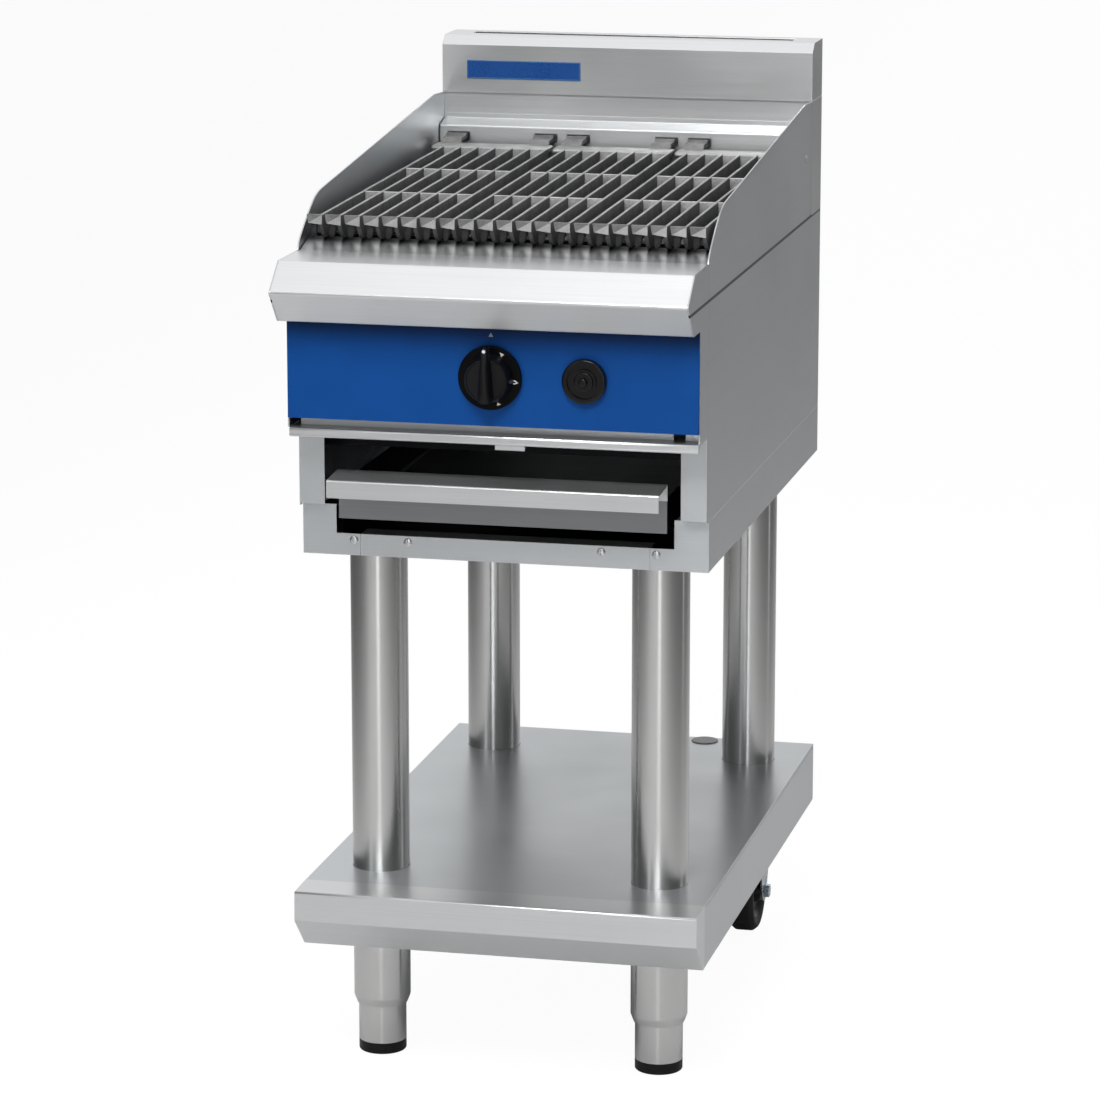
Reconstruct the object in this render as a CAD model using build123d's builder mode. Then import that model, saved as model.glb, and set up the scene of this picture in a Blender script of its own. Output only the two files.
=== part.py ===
"""Free-standing gas charbroiler on a leg stand, 450 mm wide.

X runs to the right, Y to the rear and Z up. The origin is on the floor, in the middle of the
450 x 812 mm footprint. Depths are named as distances behind the front nose of the worktop, and
behind() turns such a distance into a Y coordinate.
"""

import os
from math import cos, radians, sin, sqrt, tan

from build123d import *

# ---------------------------------------------------------------- driving dimensions (mm)
WIDTH = 450.0
DEPTH = 812.0
HEIGHT = 1085.0
HALF = WIDTH / 2
SHEET = 1.5
SKIN = HALF - SHEET

# levels above the floor
SHELF_TOP = 216.0
SHELF_SKIRT = 71.0
FRAME_BOTTOM = 585.0
FRAME_TOP = 641.0
FRONT_RAIL_TOP = 609.0
CONSOLE_BOTTOM = 735.0
PANEL_BOTTOM = 746.0
PANEL_TOP = 856.0
SIDE_TOP = 881.0
HOB_TOP = 920.0
HOOD_BOTTOM = 1017.0
CONTROL_AXIS_Z = 799.0

# distances behind the nose
PANEL_FRONT = 63.4
SIDE_FRONT = 108.0
CONSOLE_REAR = 114.0
FRAME_FRONT = 121.0
BACK_PANEL = 784.0
FLUE_FRONT = 748.6
REAR_WALL = 722.0
FIREBOX_FRONT = 156.0
FRONT_LEG = 191.5
REAR_LEG = 727.0
LEG_X = 159.0

# legs, feet and castors
LEG_R = 31.75
LEG_WALL = 1.6
LEG_BOTTOM = 56.0
REAR_LEG_BOTTOM = 124.0
FOOT_R = 26.7
CAP_HEIGHT = 13.0
STUD_R = 6.0
RUNNING = 0.06
WHEEL_R = 50.0
WHEEL_WIDTH = 32.0
AXLE_R = 5.0

# cooking grates
GRATE_PITCH = 147.0
RIB_PITCH = 21.0
RIB_COUNT = 7
RIB_WIDTH = 3.0
RIB_DEPTH = 27.0
FIRST_TOOTH = 15.6
GRATE_FRONT = 126.0
GRATE_FRONT_TOP = 957.0
GRATE_SLOPE = 0.72
RIB_LENGTH = 534.0
FLANGE_REAR = 566.0
HINGE_AT = 592.0
TONGUE_RISE = 3.0
TONGUE_WIDTH = 24.0
TONGUE_INSET = 18.0

# controls
KNOB_X = 0.0
IGNITER_X = 102.0


def behind(distance):
    """Y coordinate of a point this far behind the nose."""
    return distance - DEPTH / 2


def section(x):
    """Plane across the body at x, drawn in (Y, Z) and facing +X."""
    return Plane(origin=(x, 0, 0), x_dir=(0, 1, 0), z_dir=(1, 0, 0))


def front_plane(distance):
    """Plane at a distance behind the nose, drawn in (X, Z) and facing the front."""
    return Plane(origin=(0, behind(distance), 0), x_dir=(1, 0, 0), z_dir=(0, -1, 0))


def block(x0, x1, d0, d1, z0, z1, mode=Mode.ADD):
    """Box between two x, two distances behind the nose and two levels."""
    with Locations(((x0 + x1) / 2, behind((d0 + d1) / 2), (z0 + z1) / 2)):
        Box(abs(x1 - x0), d1 - d0, z1 - z0, mode=mode)


def yz_points(points):
    return [(behind(d), z) for d, z in points]


def folded(points, bend, half_width, thickness=SHEET):
    """Sheet folded along a path of (distance, level) points, as wide as 2 x half_width."""
    with BuildSketch(section(0)) as profile:
        with BuildLine():
            FilletPolyline(*yz_points(points), radius=bend)
        trace(line_width=thickness)
    extrude(profile.sketch, amount=half_width, both=True)


def rod_along_y(x, z, radius, d0, d1, mode=Mode.ADD):
    with BuildSketch(front_plane(d0)) as end:
        with Locations((x, z)):
            Circle(radius)
    extrude(end.sketch, amount=-(d1 - d0), mode=mode)


def bore_along_y(x, z, radius, d0, d1):
    rod_along_y(x, z, radius, d0, d1, mode=Mode.SUBTRACT)


def rod_along_x(d, z, radius, x0, x1, mode=Mode.ADD):
    with BuildSketch(section(x0)) as end:
        with Locations((behind(d), z)):
            Circle(radius)
    extrude(end.sketch, amount=x1 - x0, mode=mode)


def post(x, d, radius, z0, z1, mode=Mode.ADD):
    with BuildSketch(Plane.XY.offset(z0)) as end:
        with Locations((x, behind(d))):
            Circle(radius)
    extrude(end.sketch, amount=z1 - z0, mode=mode)


def save(builder, label):
    builder.part.label = label
    export_step(builder.part, f"parts/{label}.step")


os.makedirs("parts", exist_ok=True)
SIDES = (("left", -1), ("right", 1))

# ================================================================ undershelf
SHELF_BOTTOM = SHELF_TOP - SHELF_SKIRT
LIP = 12.0
PLUG_AT = (92.0, 795.0)
PLUG_R = 14.0

with BuildPart() as undershelf:
    block(-HALF, HALF, CONSOLE_REAR, DEPTH, SHELF_TOP - SHEET, SHELF_TOP)
    for side in (-1, 1):
        block(side * SKIN, side * HALF, CONSOLE_REAR, DEPTH, SHELF_BOTTOM, SHELF_TOP)
        block(side * (HALF - LIP), side * HALF, CONSOLE_REAR, DEPTH, SHELF_BOTTOM, SHELF_BOTTOM + SHEET)
    block(-HALF, HALF, CONSOLE_REAR, CONSOLE_REAR + SHEET, SHELF_BOTTOM, SHELF_TOP)
    block(-HALF, HALF, DEPTH - SHEET, DEPTH, SHELF_BOTTOM, SHELF_TOP)
    block(-SKIN, SKIN, DEPTH - LIP, DEPTH, SHELF_BOTTOM, SHELF_BOTTOM + SHEET)
    for side in (-1, 1):
        # the fold between the shelf's top and its skirt shows as a fine groove
        block(side * (HALF - 0.7), side * (HALF + 1), CONSOLE_REAR, DEPTH, SHELF_TOP - 3.6, SHELF_TOP - 2.6,
              mode=Mode.SUBTRACT)
        for leg in (FRONT_LEG, REAR_LEG):
            post(side * LEG_X, leg, LEG_R + 0.2, SHELF_TOP - 5, SHELF_TOP + 5, mode=Mode.SUBTRACT)
    post(PLUG_AT[0], PLUG_AT[1], PLUG_R + 0.1, SHELF_TOP - 5, SHELF_TOP + 5, mode=Mode.SUBTRACT)
save(undershelf, "undershelf")

with BuildPart() as hole_plug:
    post(*PLUG_AT, PLUG_R, SHELF_TOP - 6, SHELF_TOP)
    post(*PLUG_AT, PLUG_R + 2.5, SHELF_TOP, SHELF_TOP + 1.6)
    fillet(hole_plug.faces().sort_by(Axis.Z)[-1].edges(), 1.2)
    post(*PLUG_AT, PLUG_R - 1.6, SHELF_TOP - 7, SHELF_TOP - 1.5, mode=Mode.SUBTRACT)
save(hole_plug, "hole_plug")

NOSE_OUTLINE = [(CONSOLE_REAR, 216), (68, 215), (67, 182), (106, 145), (CONSOLE_REAR, 145)]
NOSE_INSIDE = [(120, 214.5), (69.5, 213.5), (68.5, 182.6), (106.6, 146.5), (120, 146.5)]
with BuildPart() as shelf_nose:
    with BuildSketch(section(-HALF)) as nose_face:
        with BuildLine():
            Polyline(*yz_points(NOSE_OUTLINE), close=True)
        make_face()
        fillet(nose_face.vertices().sort_by(Axis.X)[:3], 2.4)
    extrude(amount=WIDTH)
    with BuildSketch(section(-SKIN)):
        with BuildLine():
            Polyline(*yz_points(NOSE_INSIDE), close=True)
        make_face()
    extrude(amount=2 * SKIN, mode=Mode.SUBTRACT)
save(shelf_nose, "shelf_nose")

# ================================================================ legs, feet and castors
LEG_TOP = FRAME_BOTTOM + SHEET
TOP_PLATE = 4.0


def leg_top_plate(side, leg):
    """Plate welded on the leg's upper end, inside the stand frame."""
    block(side * 121, side * 222, leg - 38, leg + 38, LEG_TOP, LEG_TOP + TOP_PLATE)


MOUTH_R = FOOT_R + RUNNING
INSERT_BOTTOM = 120.0
INSERT_TOP = 134.0
STUD_TOP = 162.0
SLEEVE_TOP = 88.0

# front legs: the lower end of each tube is rolled in to guide the adjustable foot
with BuildPart() as front_legs:
    for side in (-1, 1):
        axis_x = side * LEG_X
        with BuildSketch(front_plane(FRONT_LEG)) as leg_wall:
            with BuildLine():
                Polyline(
                    (axis_x + MOUTH_R, LEG_BOTTOM), (axis_x + MOUTH_R + LEG_WALL, LEG_BOTTOM),
                    (axis_x + LEG_R, LEG_BOTTOM + 9), (axis_x + LEG_R, LEG_TOP),
                    (axis_x + LEG_R - LEG_WALL, LEG_TOP), (axis_x + LEG_R - LEG_WALL, LEG_BOTTOM + 10),
                    (axis_x + MOUTH_R, LEG_BOTTOM + 3), close=True)
            make_face()
            fillet(leg_wall.vertices().filter_by_position(Axis.Y, LEG_BOTTOM + 8, LEG_BOTTOM + 9.5), 4)
        revolve(axis=Axis((axis_x, behind(FRONT_LEG), 0), (0, 0, 1)))
        leg_top_plate(side, FRONT_LEG)
save(front_legs, "front_legs")

with BuildPart() as rear_legs:
    for side in (-1, 1):
        post(side * LEG_X, REAR_LEG, LEG_R, REAR_LEG_BOTTOM, LEG_TOP)
        post(side * LEG_X, REAR_LEG, LEG_R - LEG_WALL, REAR_LEG_BOTTOM - 1, LEG_TOP + 1, mode=Mode.SUBTRACT)
        leg_top_plate(side, REAR_LEG)
save(rear_legs, "rear_legs")

for name, side in SIDES:
    with BuildPart() as foot:
        post(side * LEG_X, FRONT_LEG, FOOT_R, CAP_HEIGHT, SLEEVE_TOP)
        post(side * LEG_X, FRONT_LEG, FOOT_R - 2, CAP_HEIGHT + 4, SLEEVE_TOP + 1, mode=Mode.SUBTRACT)
        post(side * LEG_X, FRONT_LEG, STUD_R, CAP_HEIGHT, STUD_TOP)
        chamfer(foot.faces().sort_by(Axis.Z)[-1].edges(), 1)
    save(foot, f"{name}_foot_sleeve")

    with BuildPart() as cap:
        post(side * LEG_X, FRONT_LEG, FOOT_R, 0, CAP_HEIGHT)
        fillet(cap.faces().sort_by(Axis.Z)[0].edges(), 2.5)
    save(cap, f"{name}_foot_cap")

with BuildPart() as foot_inserts:
    for side in (-1, 1):
        post(side * LEG_X, FRONT_LEG, LEG_R - LEG_WALL, INSERT_BOTTOM, INSERT_TOP)
        post(side * LEG_X, FRONT_LEG, STUD_R + RUNNING, INSERT_BOTTOM - 1, INSERT_TOP + 1,
             mode=Mode.SUBTRACT)
save(foot_inserts, "foot_inserts")

AXLE_Z = WHEEL_R
FORK_OUT = 22.5
FORK_PLATE = 2.5
FORK_TOP = REAR_LEG_BOTTOM
FORK_HALF_TOP = 38.0
FORK_HALF_LOW = 13.0

with BuildPart() as castor_forks:
    for side in (-1, 1):
        centre = side * LEG_X
        block(centre - FORK_OUT, centre + FORK_OUT, REAR_LEG - FORK_HALF_TOP, REAR_LEG + FORK_HALF_TOP,
              FORK_TOP - 4, FORK_TOP)
        for face in (-1, 1):
            with BuildSketch(section(centre + face * FORK_OUT)):
                with BuildLine():
                    Polyline(*yz_points([
                        (REAR_LEG - FORK_HALF_TOP, FORK_TOP), (REAR_LEG + FORK_HALF_TOP, FORK_TOP),
                        (REAR_LEG + FORK_HALF_TOP, FORK_TOP - 16), (REAR_LEG + FORK_HALF_LOW, AXLE_Z),
                        (REAR_LEG - FORK_HALF_LOW, AXLE_Z), (REAR_LEG - FORK_HALF_TOP, FORK_TOP - 16)]),
                        close=True)
                make_face()
                with Locations((behind(REAR_LEG), AXLE_Z)):
                    Circle(FORK_HALF_LOW)
                    Circle(AXLE_R + 0.05, mode=Mode.SUBTRACT)
            extrude(amount=-face * FORK_PLATE)
save(castor_forks, "castor_forks")

with BuildPart() as castor_axles:
    for side in (-1, 1):
        centre = side * LEG_X
        rod_along_x(REAR_LEG, AXLE_Z, AXLE_R, centre - FORK_OUT - 3, centre + FORK_OUT + 3)
        for face in (-1, 1):
            with BuildSketch(section(centre + face * FORK_OUT)):
                with Locations((behind(REAR_LEG), AXLE_Z)):
                    RegularPolygon(8.6, 6)
            extrude(amount=face * 6)
save(castor_axles, "castor_axles")

HUB_R = 34.0
for name, side in SIDES:
    centre = side * LEG_X
    with BuildPart() as hub:
        with BuildSketch(front_plane(REAR_LEG)) as hub_half:
            with BuildLine():
                Polyline(
                    (centre - 18, AXLE_Z + AXLE_R + RUNNING), (centre + 18, AXLE_Z + AXLE_R + RUNNING),
                    (centre + 18, AXLE_Z + 12), (centre + 9, AXLE_Z + 15), (centre + 9, AXLE_Z + 29),
                    (centre + 13, AXLE_Z + HUB_R), (centre - 13, AXLE_Z + HUB_R), (centre - 9, AXLE_Z + 29),
                    (centre - 9, AXLE_Z + 15), (centre - 18, AXLE_Z + 12), close=True)
            make_face()
        revolve(axis=Axis((0, behind(REAR_LEG), AXLE_Z), (1, 0, 0)))
    save(hub, f"{name}_wheel_hub")

    with BuildPart() as tyre:
        with BuildSketch(front_plane(REAR_LEG)) as tyre_half:
            with BuildLine():
                Polyline(
                    (centre - 13, AXLE_Z + HUB_R), (centre + 13, AXLE_Z + HUB_R),
                    (centre + WHEEL_WIDTH / 2, AXLE_Z + 41), (centre + WHEEL_WIDTH / 2, AXLE_Z + 45),
                    (centre + 10, AXLE_Z + WHEEL_R), (centre - 10, AXLE_Z + WHEEL_R),
                    (centre - WHEEL_WIDTH / 2, AXLE_Z + 45), (centre - WHEEL_WIDTH / 2, AXLE_Z + 41),
                    close=True)
            make_face()
            fillet(tyre_half.vertices().group_by(Axis.Z)[-1], 5)
        revolve(axis=Axis((0, behind(REAR_LEG), AXLE_Z), (1, 0, 0)))
    save(tyre, f"{name}_wheel_tyre")

# ================================================================ stand frame
RAIL_FRONT = FRAME_FRONT + SHEET
CORNER_X = 187.4
BRACKET_REAR = 146.0
FRONT_RAIL_X = 160.5
SCREW_Z = 602.0
SCREW_X = (-167.8, -107.3, 107.3, 167.8)
SCREW_R = 2.5
SCREW_HEAD_R = 5.5
SCREW_HEAD = 2.4

with BuildPart() as stand_side_rails:
    for side in (-1, 1):
        block(side * SKIN, side * HALF, RAIL_FRONT, DEPTH, FRAME_BOTTOM, FRAME_TOP)
        block(side * 203.5, side * HALF, RAIL_FRONT, DEPTH, FRAME_TOP - SHEET, FRAME_TOP)
        block(side * 200, side * HALF, RAIL_FRONT, DEPTH, FRAME_BOTTOM, FRAME_BOTTOM + SHEET)
save(stand_side_rails, "stand_side_rails")

with BuildPart() as corner_brackets:
    for side in (-1, 1):
        block(side * CORNER_X, side * HALF, FRAME_FRONT, RAIL_FRONT, FRAME_BOTTOM, FRAME_TOP)
        block(side * (FRONT_RAIL_X + 0.4), side * HALF, FRAME_FRONT, RAIL_FRONT,
              FRAME_BOTTOM, FRONT_RAIL_TOP)
        block(side * CORNER_X, side * (CORNER_X + SHEET), FRAME_FRONT, BRACKET_REAR,
              FRAME_BOTTOM + 4, FRAME_TOP - 2)
    for x in (SCREW_X[0], SCREW_X[-1]):
        bore_along_y(x, SCREW_Z, SCREW_R + 0.1, FRAME_FRONT - 1, RAIL_FRONT + 1)
save(corner_brackets, "corner_brackets")

with BuildPart() as stand_front_rail:
    block(-FRONT_RAIL_X, FRONT_RAIL_X, FRAME_FRONT, RAIL_FRONT, FRAME_BOTTOM, FRONT_RAIL_TOP)
    block(-FRONT_RAIL_X, FRONT_RAIL_X, FRAME_FRONT, 150, FRONT_RAIL_TOP - SHEET, FRONT_RAIL_TOP)
    block(-FRONT_RAIL_X, FRONT_RAIL_X, FRAME_FRONT, 150, FRAME_BOTTOM, FRAME_BOTTOM + SHEET)
    # tongues behind the corner brackets, which the outer screws pull together
    for side in (-1, 1):
        block(side * 130, side * 186, RAIL_FRONT, RAIL_FRONT + SHEET, FRAME_BOTTOM + 3, FRONT_RAIL_TOP - 2)
    for x in SCREW_X:
        bore_along_y(x, SCREW_Z, SCREW_R + 0.1, FRAME_FRONT - 1, RAIL_FRONT + 5)
save(stand_front_rail, "stand_front_rail")

with BuildPart() as stand_rear_rail:
    block(-199, 199, DEPTH - SHEET, DEPTH, FRAME_BOTTOM, FRAME_TOP)
    block(-199, 199, DEPTH - 24, DEPTH, FRAME_TOP - SHEET, FRAME_TOP)
    block(-199, 199, DEPTH - 24, DEPTH, FRAME_BOTTOM, FRAME_BOTTOM + SHEET)
save(stand_rear_rail, "stand_rear_rail")

# closes the body below the drip drawer
BASE_Z = LEG_TOP + TOP_PLATE + 0.3
with BuildPart() as base_plate:
    block(-SKIN + 0.3, SKIN - 0.3, BRACKET_REAR + 1, DEPTH - SHEET - 0.3, BASE_Z, BASE_Z + 1.2)
save(base_plate, "base_plate")


# ================================================================ body shell
UPRIGHT_INNER = 196.6
PIPE_R = 7.0
INLET_X = 170.0
PIPE_SIDE_X = 210.0
PIPE_Z = CONTROL_AXIS_Z

for name, side in SIDES:
    with BuildPart() as side_panel:
        block(side * SKIN, side * HALF, SIDE_FRONT, DEPTH, FRAME_TOP, SIDE_TOP)
        block(side * UPRIGHT_INNER, side * HALF, SIDE_FRONT, SIDE_FRONT + SHEET,
              FRAME_TOP + 2, CONSOLE_BOTTOM)
        block(side * (SKIN - 12), side * HALF, DEPTH - SHEET, DEPTH, FRAME_TOP, SIDE_TOP)
        block(side * HALF, side * (SKIN - 1), SIDE_FRONT - 1, CONSOLE_REAR + 0.5,
              CONSOLE_BOTTOM, SIDE_TOP + 1, mode=Mode.SUBTRACT)
    save(side_panel, f"{name}_side_panel")

with BuildPart() as rear_panel:
    block(-SKIN + 0.2, SKIN - 0.2, BACK_PANEL, BACK_PANEL + SHEET, FRAME_TOP, SIDE_TOP)
    bore_along_y(INLET_X, PIPE_Z, 12.5, BACK_PANEL - 1, BACK_PANEL + 3)
    # louvres let combustion air in
    for row in range(4):
        with BuildSketch(front_plane(BACK_PANEL - 1)):
            with GridLocations(62, 1, 5, 1):
                with Locations((-12, 690 + 18 * row)):
                    SlotOverall(44, 6)
        extrude(amount=-4, mode=Mode.SUBTRACT)
save(rear_panel, "rear_panel")

# the worktop nose: flat top, long sloping face and an undercut back to the control panel
NOSE_BEND = 2.2
SETBACK = sqrt(2) - 1
NOSE_PATH = [(CONSOLE_REAR - 1, HOB_TOP - SHEET / 2), (35.5, HOB_TOP - SHEET / 2),
             (SHEET / 2 - NOSE_BEND * SETBACK, 891), (31, PANEL_TOP + SHEET / 2),
             (66, PANEL_TOP + SHEET / 2)]
with BuildPart() as bullnose:
    folded(NOSE_PATH, NOSE_BEND, SKIN)
save(bullnose, "bullnose")

NOSE_ROUND = NOSE_BEND + SHEET / 2
END_OUTLINE = [(CONSOLE_REAR, HOB_TOP), (35, HOB_TOP), (-NOSE_ROUND * SETBACK, 891), (30, PANEL_TOP),
               (67, PANEL_TOP), (67, CONSOLE_BOTTOM), (CONSOLE_REAR, CONSOLE_BOTTOM)]
with BuildPart() as console_end_caps:
    for side in (-1, 1):
        with BuildSketch(section(side * SKIN)) as cap_face:
            with BuildLine():
                Polyline(*yz_points(END_OUTLINE), close=True)
            make_face()
            fillet(cap_face.vertices().sort_by(Axis.X)[:3], NOSE_ROUND)
        extrude(amount=side * SHEET)
save(console_end_caps, "console_end_caps")

SPINDLE_HOLE_R = 9.0
IGNITER_HOLE_R = 13.0
PANEL_REAR = PANEL_FRONT + 3.0
with BuildPart() as control_panel:
    block(-HALF + 0.6, HALF - 0.6, PANEL_FRONT, PANEL_REAR, PANEL_BOTTOM, PANEL_TOP - 0.4)
    fillet(control_panel.faces().sort_by(Axis.Y)[0].edges().filter_by(Axis.Z), 1.2)
    bore_along_y(KNOB_X, CONTROL_AXIS_Z, SPINDLE_HOLE_R, PANEL_FRONT - 1, PANEL_REAR + 1)
    bore_along_y(IGNITER_X, CONTROL_AXIS_Z, IGNITER_HOLE_R, PANEL_FRONT - 1, PANEL_REAR + 1)
save(control_panel, "control_panel")

LEDGE_BOTTOM = 724.6
LEDGE_TOP = 735.0
LEDGE_REAR = SIDE_FRONT - 0.5
STRIP_FRONT = 86.0
STRIP_END = 216.0
SLOT_START = 193.0
SLOT_END = 206.0
# folded drip ledge: a rounded lip, a strip up behind the panel and a finger tab
with BuildPart() as drip_ledge:
    block(-SKIN, SKIN, 66, LEDGE_REAR, LEDGE_BOTTOM, LEDGE_TOP)
    fillet(drip_ledge.faces().sort_by(Axis.Y)[0].edges().filter_by(Axis.X), 3)
    block(-HALF, HALF, 70, LEDGE_REAR + 1, LEDGE_BOTTOM - 1, LEDGE_TOP - 3, mode=Mode.SUBTRACT)
    # the strip stops short of the right end and leaves a slot
    block(-STRIP_END, SLOT_START, STRIP_FRONT, STRIP_FRONT + SHEET, LEDGE_TOP, 752)
    block(SLOT_END, SKIN, STRIP_FRONT, STRIP_FRONT + SHEET, LEDGE_TOP, 752)
    block(3, 35.5, 68.5, 76, 719.6, LEDGE_BOTTOM + 1)
save(drip_ledge, "drip_ledge")

# ================================================================ gas control and igniter
SPINDLE_R = 4.0
PUSH_TRAVEL = 3.0
SKIRT_R = 34.5
SKIRT_BACK = PANEL_FRONT - PUSH_TRAVEL - 0.6
SKIRT_FRONT = SKIRT_BACK - 3.4

# the dial skirt turns with the knob under the index mark on the panel
with BuildPart() as knob_skirt:
    rod_along_y(KNOB_X, CONTROL_AXIS_Z, SKIRT_R, SKIRT_FRONT, SKIRT_BACK)
    fillet(knob_skirt.faces().sort_by(Axis.Y)[0].edges(), 1.4)
    bore_along_y(KNOB_X, CONTROL_AXIS_Z, SPINDLE_R, SKIRT_FRONT - 1, SKIRT_BACK + 1)
save(knob_skirt, "knob_skirt")

KNOB_BACK = SKIRT_FRONT
KNOB_FACE = PANEL_FRONT - 25.0
BLADE_FRONT = PANEL_FRONT - 37.0
KNOB_R = 25.0
BLADE_TIP = 36.5

with BuildPart() as knob:
    rod_along_y(KNOB_X, CONTROL_AXIS_Z, KNOB_R, KNOB_FACE, KNOB_BACK)
    fillet(knob.faces().sort_by(Axis.Y)[0].edges(), 2.0)
    # the grip runs across the face, and its upper end is the pointer
    with BuildSketch(section(KNOB_X)) as grip_side:
        with BuildLine():
            Polyline(*yz_points([
                (KNOB_FACE + 8, CONTROL_AXIS_Z - 23), (BLADE_FRONT + 5, CONTROL_AXIS_Z - 22),
                (BLADE_FRONT, CONTROL_AXIS_Z - 12), (BLADE_FRONT, CONTROL_AXIS_Z + 16),
                (BLADE_FRONT + 7, CONTROL_AXIS_Z + BLADE_TIP), (KNOB_FACE + 1, CONTROL_AXIS_Z + BLADE_TIP),
                (KNOB_FACE + 8, CONTROL_AXIS_Z + 24)]), close=True)
        make_face()
    extrude(amount=4.6, both=True)
    grip_front = behind(BLADE_FRONT)
    fillet(knob.edges().filter_by_position(Axis.Y, grip_front - 1, grip_front + 7.5), 1.6)
    bore_along_y(KNOB_X, CONTROL_AXIS_Z, SPINDLE_R, KNOB_FACE + 4, KNOB_BACK + 1)
save(knob, "knob")

SPINDLE_REAR = 92.0
with BuildPart() as valve_spindle:
    rod_along_y(KNOB_X, CONTROL_AXIS_Z, SPINDLE_R, KNOB_FACE + 4, SPINDLE_REAR)
save(valve_spindle, "valve_spindle")

VALVE_FRONT = 74.0
VALVE_REAR = 142.0
PLUG_FRONT = 84.0
PLUG_REAR = 116.0
PLUG_BODY_R = 9.0
MANIFOLD_AT = (118.0, 760.0)
MANIFOLD_R = 10.65
with BuildPart() as valve_body:
    rod_along_y(KNOB_X, CONTROL_AXIS_Z, 15, VALVE_FRONT, VALVE_REAR)
    with BuildSketch(Plane.XY.offset(MANIFOLD_AT[1] + MANIFOLD_R)):
        with Locations((KNOB_X, behind(MANIFOLD_AT[0]))):
            Circle(7)
    extrude(amount=CONTROL_AXIS_Z - MANIFOLD_AT[1] - MANIFOLD_R - 12)
    bore_along_y(KNOB_X, CONTROL_AXIS_Z, SPINDLE_R + RUNNING, VALVE_FRONT - 1, PLUG_FRONT + 1)
    bore_along_y(KNOB_X, CONTROL_AXIS_Z, PLUG_BODY_R + RUNNING, PLUG_FRONT - 0.3, PLUG_REAR + 0.3)
save(valve_body, "valve_body")

with BuildPart() as valve_plug:
    rod_along_y(KNOB_X, CONTROL_AXIS_Z, PLUG_BODY_R, PLUG_FRONT, PLUG_REAR)
    bore_along_y(KNOB_X, CONTROL_AXIS_Z, SPINDLE_R + RUNNING, PLUG_FRONT - 1, SPINDLE_REAR + PUSH_TRAVEL + 1)
    # gas port across the plug
    with BuildSketch(Plane.XY.offset(CONTROL_AXIS_Z - 12)):
        with Locations((KNOB_X, behind(108))):
            Circle(3)
    extrude(amount=24, mode=Mode.SUBTRACT)
save(valve_plug, "valve_plug")

IGNITER_RING_R = 24.0
IGNITER_FRONT = PANEL_FRONT - 8.0
BUTTON_R = 10.4
BUTTON_TRAVEL = 4.0
with BuildPart() as igniter_bezel:
    rod_along_y(IGNITER_X, CONTROL_AXIS_Z, IGNITER_RING_R, IGNITER_FRONT, PANEL_FRONT)
    fillet(igniter_bezel.faces().sort_by(Axis.Y)[0].edges(), 2.2)
    bore_along_y(IGNITER_X, CONTROL_AXIS_Z, 18.5, IGNITER_FRONT - 1, PANEL_FRONT - 4.5)
    rod_along_y(IGNITER_X, CONTROL_AXIS_Z, 13.2, IGNITER_FRONT + 0.5, PANEL_FRONT)
    bore_along_y(IGNITER_X, CONTROL_AXIS_Z, BUTTON_R + 0.1, IGNITER_FRONT - 1, PANEL_FRONT + 1)
save(igniter_bezel, "igniter_bezel")

with BuildPart() as igniter_button:
    rod_along_y(IGNITER_X, CONTROL_AXIS_Z, BUTTON_R, IGNITER_FRONT - 1.5, PANEL_FRONT + 3)
    fillet(igniter_button.faces().sort_by(Axis.Y)[0].edges(), 1.4)
    rod_along_y(IGNITER_X, CONTROL_AXIS_Z, 4.6, IGNITER_FRONT - 5.5, IGNITER_FRONT)
    fillet(igniter_button.faces().sort_by(Axis.Y)[0].edges(), 2.0)
save(igniter_button, "igniter_button")

BUTTON_BORE_END = PANEL_FRONT + 3 + BUTTON_TRAVEL + 0.6
with BuildPart() as igniter_body:
    rod_along_y(IGNITER_X, CONTROL_AXIS_Z, IGNITER_HOLE_R - 0.2, PANEL_FRONT + 0.0, 118)
    bore_along_y(IGNITER_X, CONTROL_AXIS_Z, BUTTON_R + 0.1, PANEL_FRONT - 1, BUTTON_BORE_END)
    rod_along_y(IGNITER_X, CONTROL_AXIS_Z, 16.5, PANEL_REAR, PANEL_REAR + 3.5)
    bore_along_y(IGNITER_X, CONTROL_AXIS_Z, BUTTON_R + 0.1, PANEL_FRONT - 1, BUTTON_BORE_END)
save(igniter_body, "igniter_body")

# ================================================================ gas train and burners
BURNER_X = 88.0
BURNER_R = 17.0
MOUTH_OUTER_R = 13.0
BURNER_FRONT = 176.0
BURNER_REAR = 690.0
BURNER_Z = MANIFOLD_AT[1]

with BuildPart() as gas_supply_pipe:
    with BuildLine() as pipe_route:
        FilletPolyline(
            (INLET_X, behind(BACK_PANEL + 8), PIPE_Z), (INLET_X, behind(752), PIPE_Z),
            (PIPE_SIDE_X, behind(752), PIPE_Z), (PIPE_SIDE_X, behind(134), PIPE_Z),
            (15, behind(134), PIPE_Z), radius=18)
    with BuildSketch(Plane(origin=pipe_route.line @ 0, z_dir=pipe_route.line % 0)):
        Circle(PIPE_R)
        Circle(PIPE_R - 1.2, mode=Mode.SUBTRACT)
    sweep()
save(gas_supply_pipe, "gas_supply_pipe")

INLET_THREAD_R = 10.48
with BuildPart() as gas_inlet:
    rod_along_y(INLET_X, PIPE_Z, INLET_THREAD_R, BACK_PANEL + 5, DEPTH - 1)
    with BuildSketch(front_plane(BACK_PANEL + 3)):
        with Locations((INLET_X, PIPE_Z)):
            RegularPolygon(14.5, 6)
    extrude(amount=-6)
    bore_along_y(INLET_X, PIPE_Z, PIPE_R, BACK_PANEL, BACK_PANEL + 8)
    bore_along_y(INLET_X, PIPE_Z, PIPE_R - 1.2, BACK_PANEL, DEPTH)
save(gas_inlet, "gas_inlet")

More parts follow.
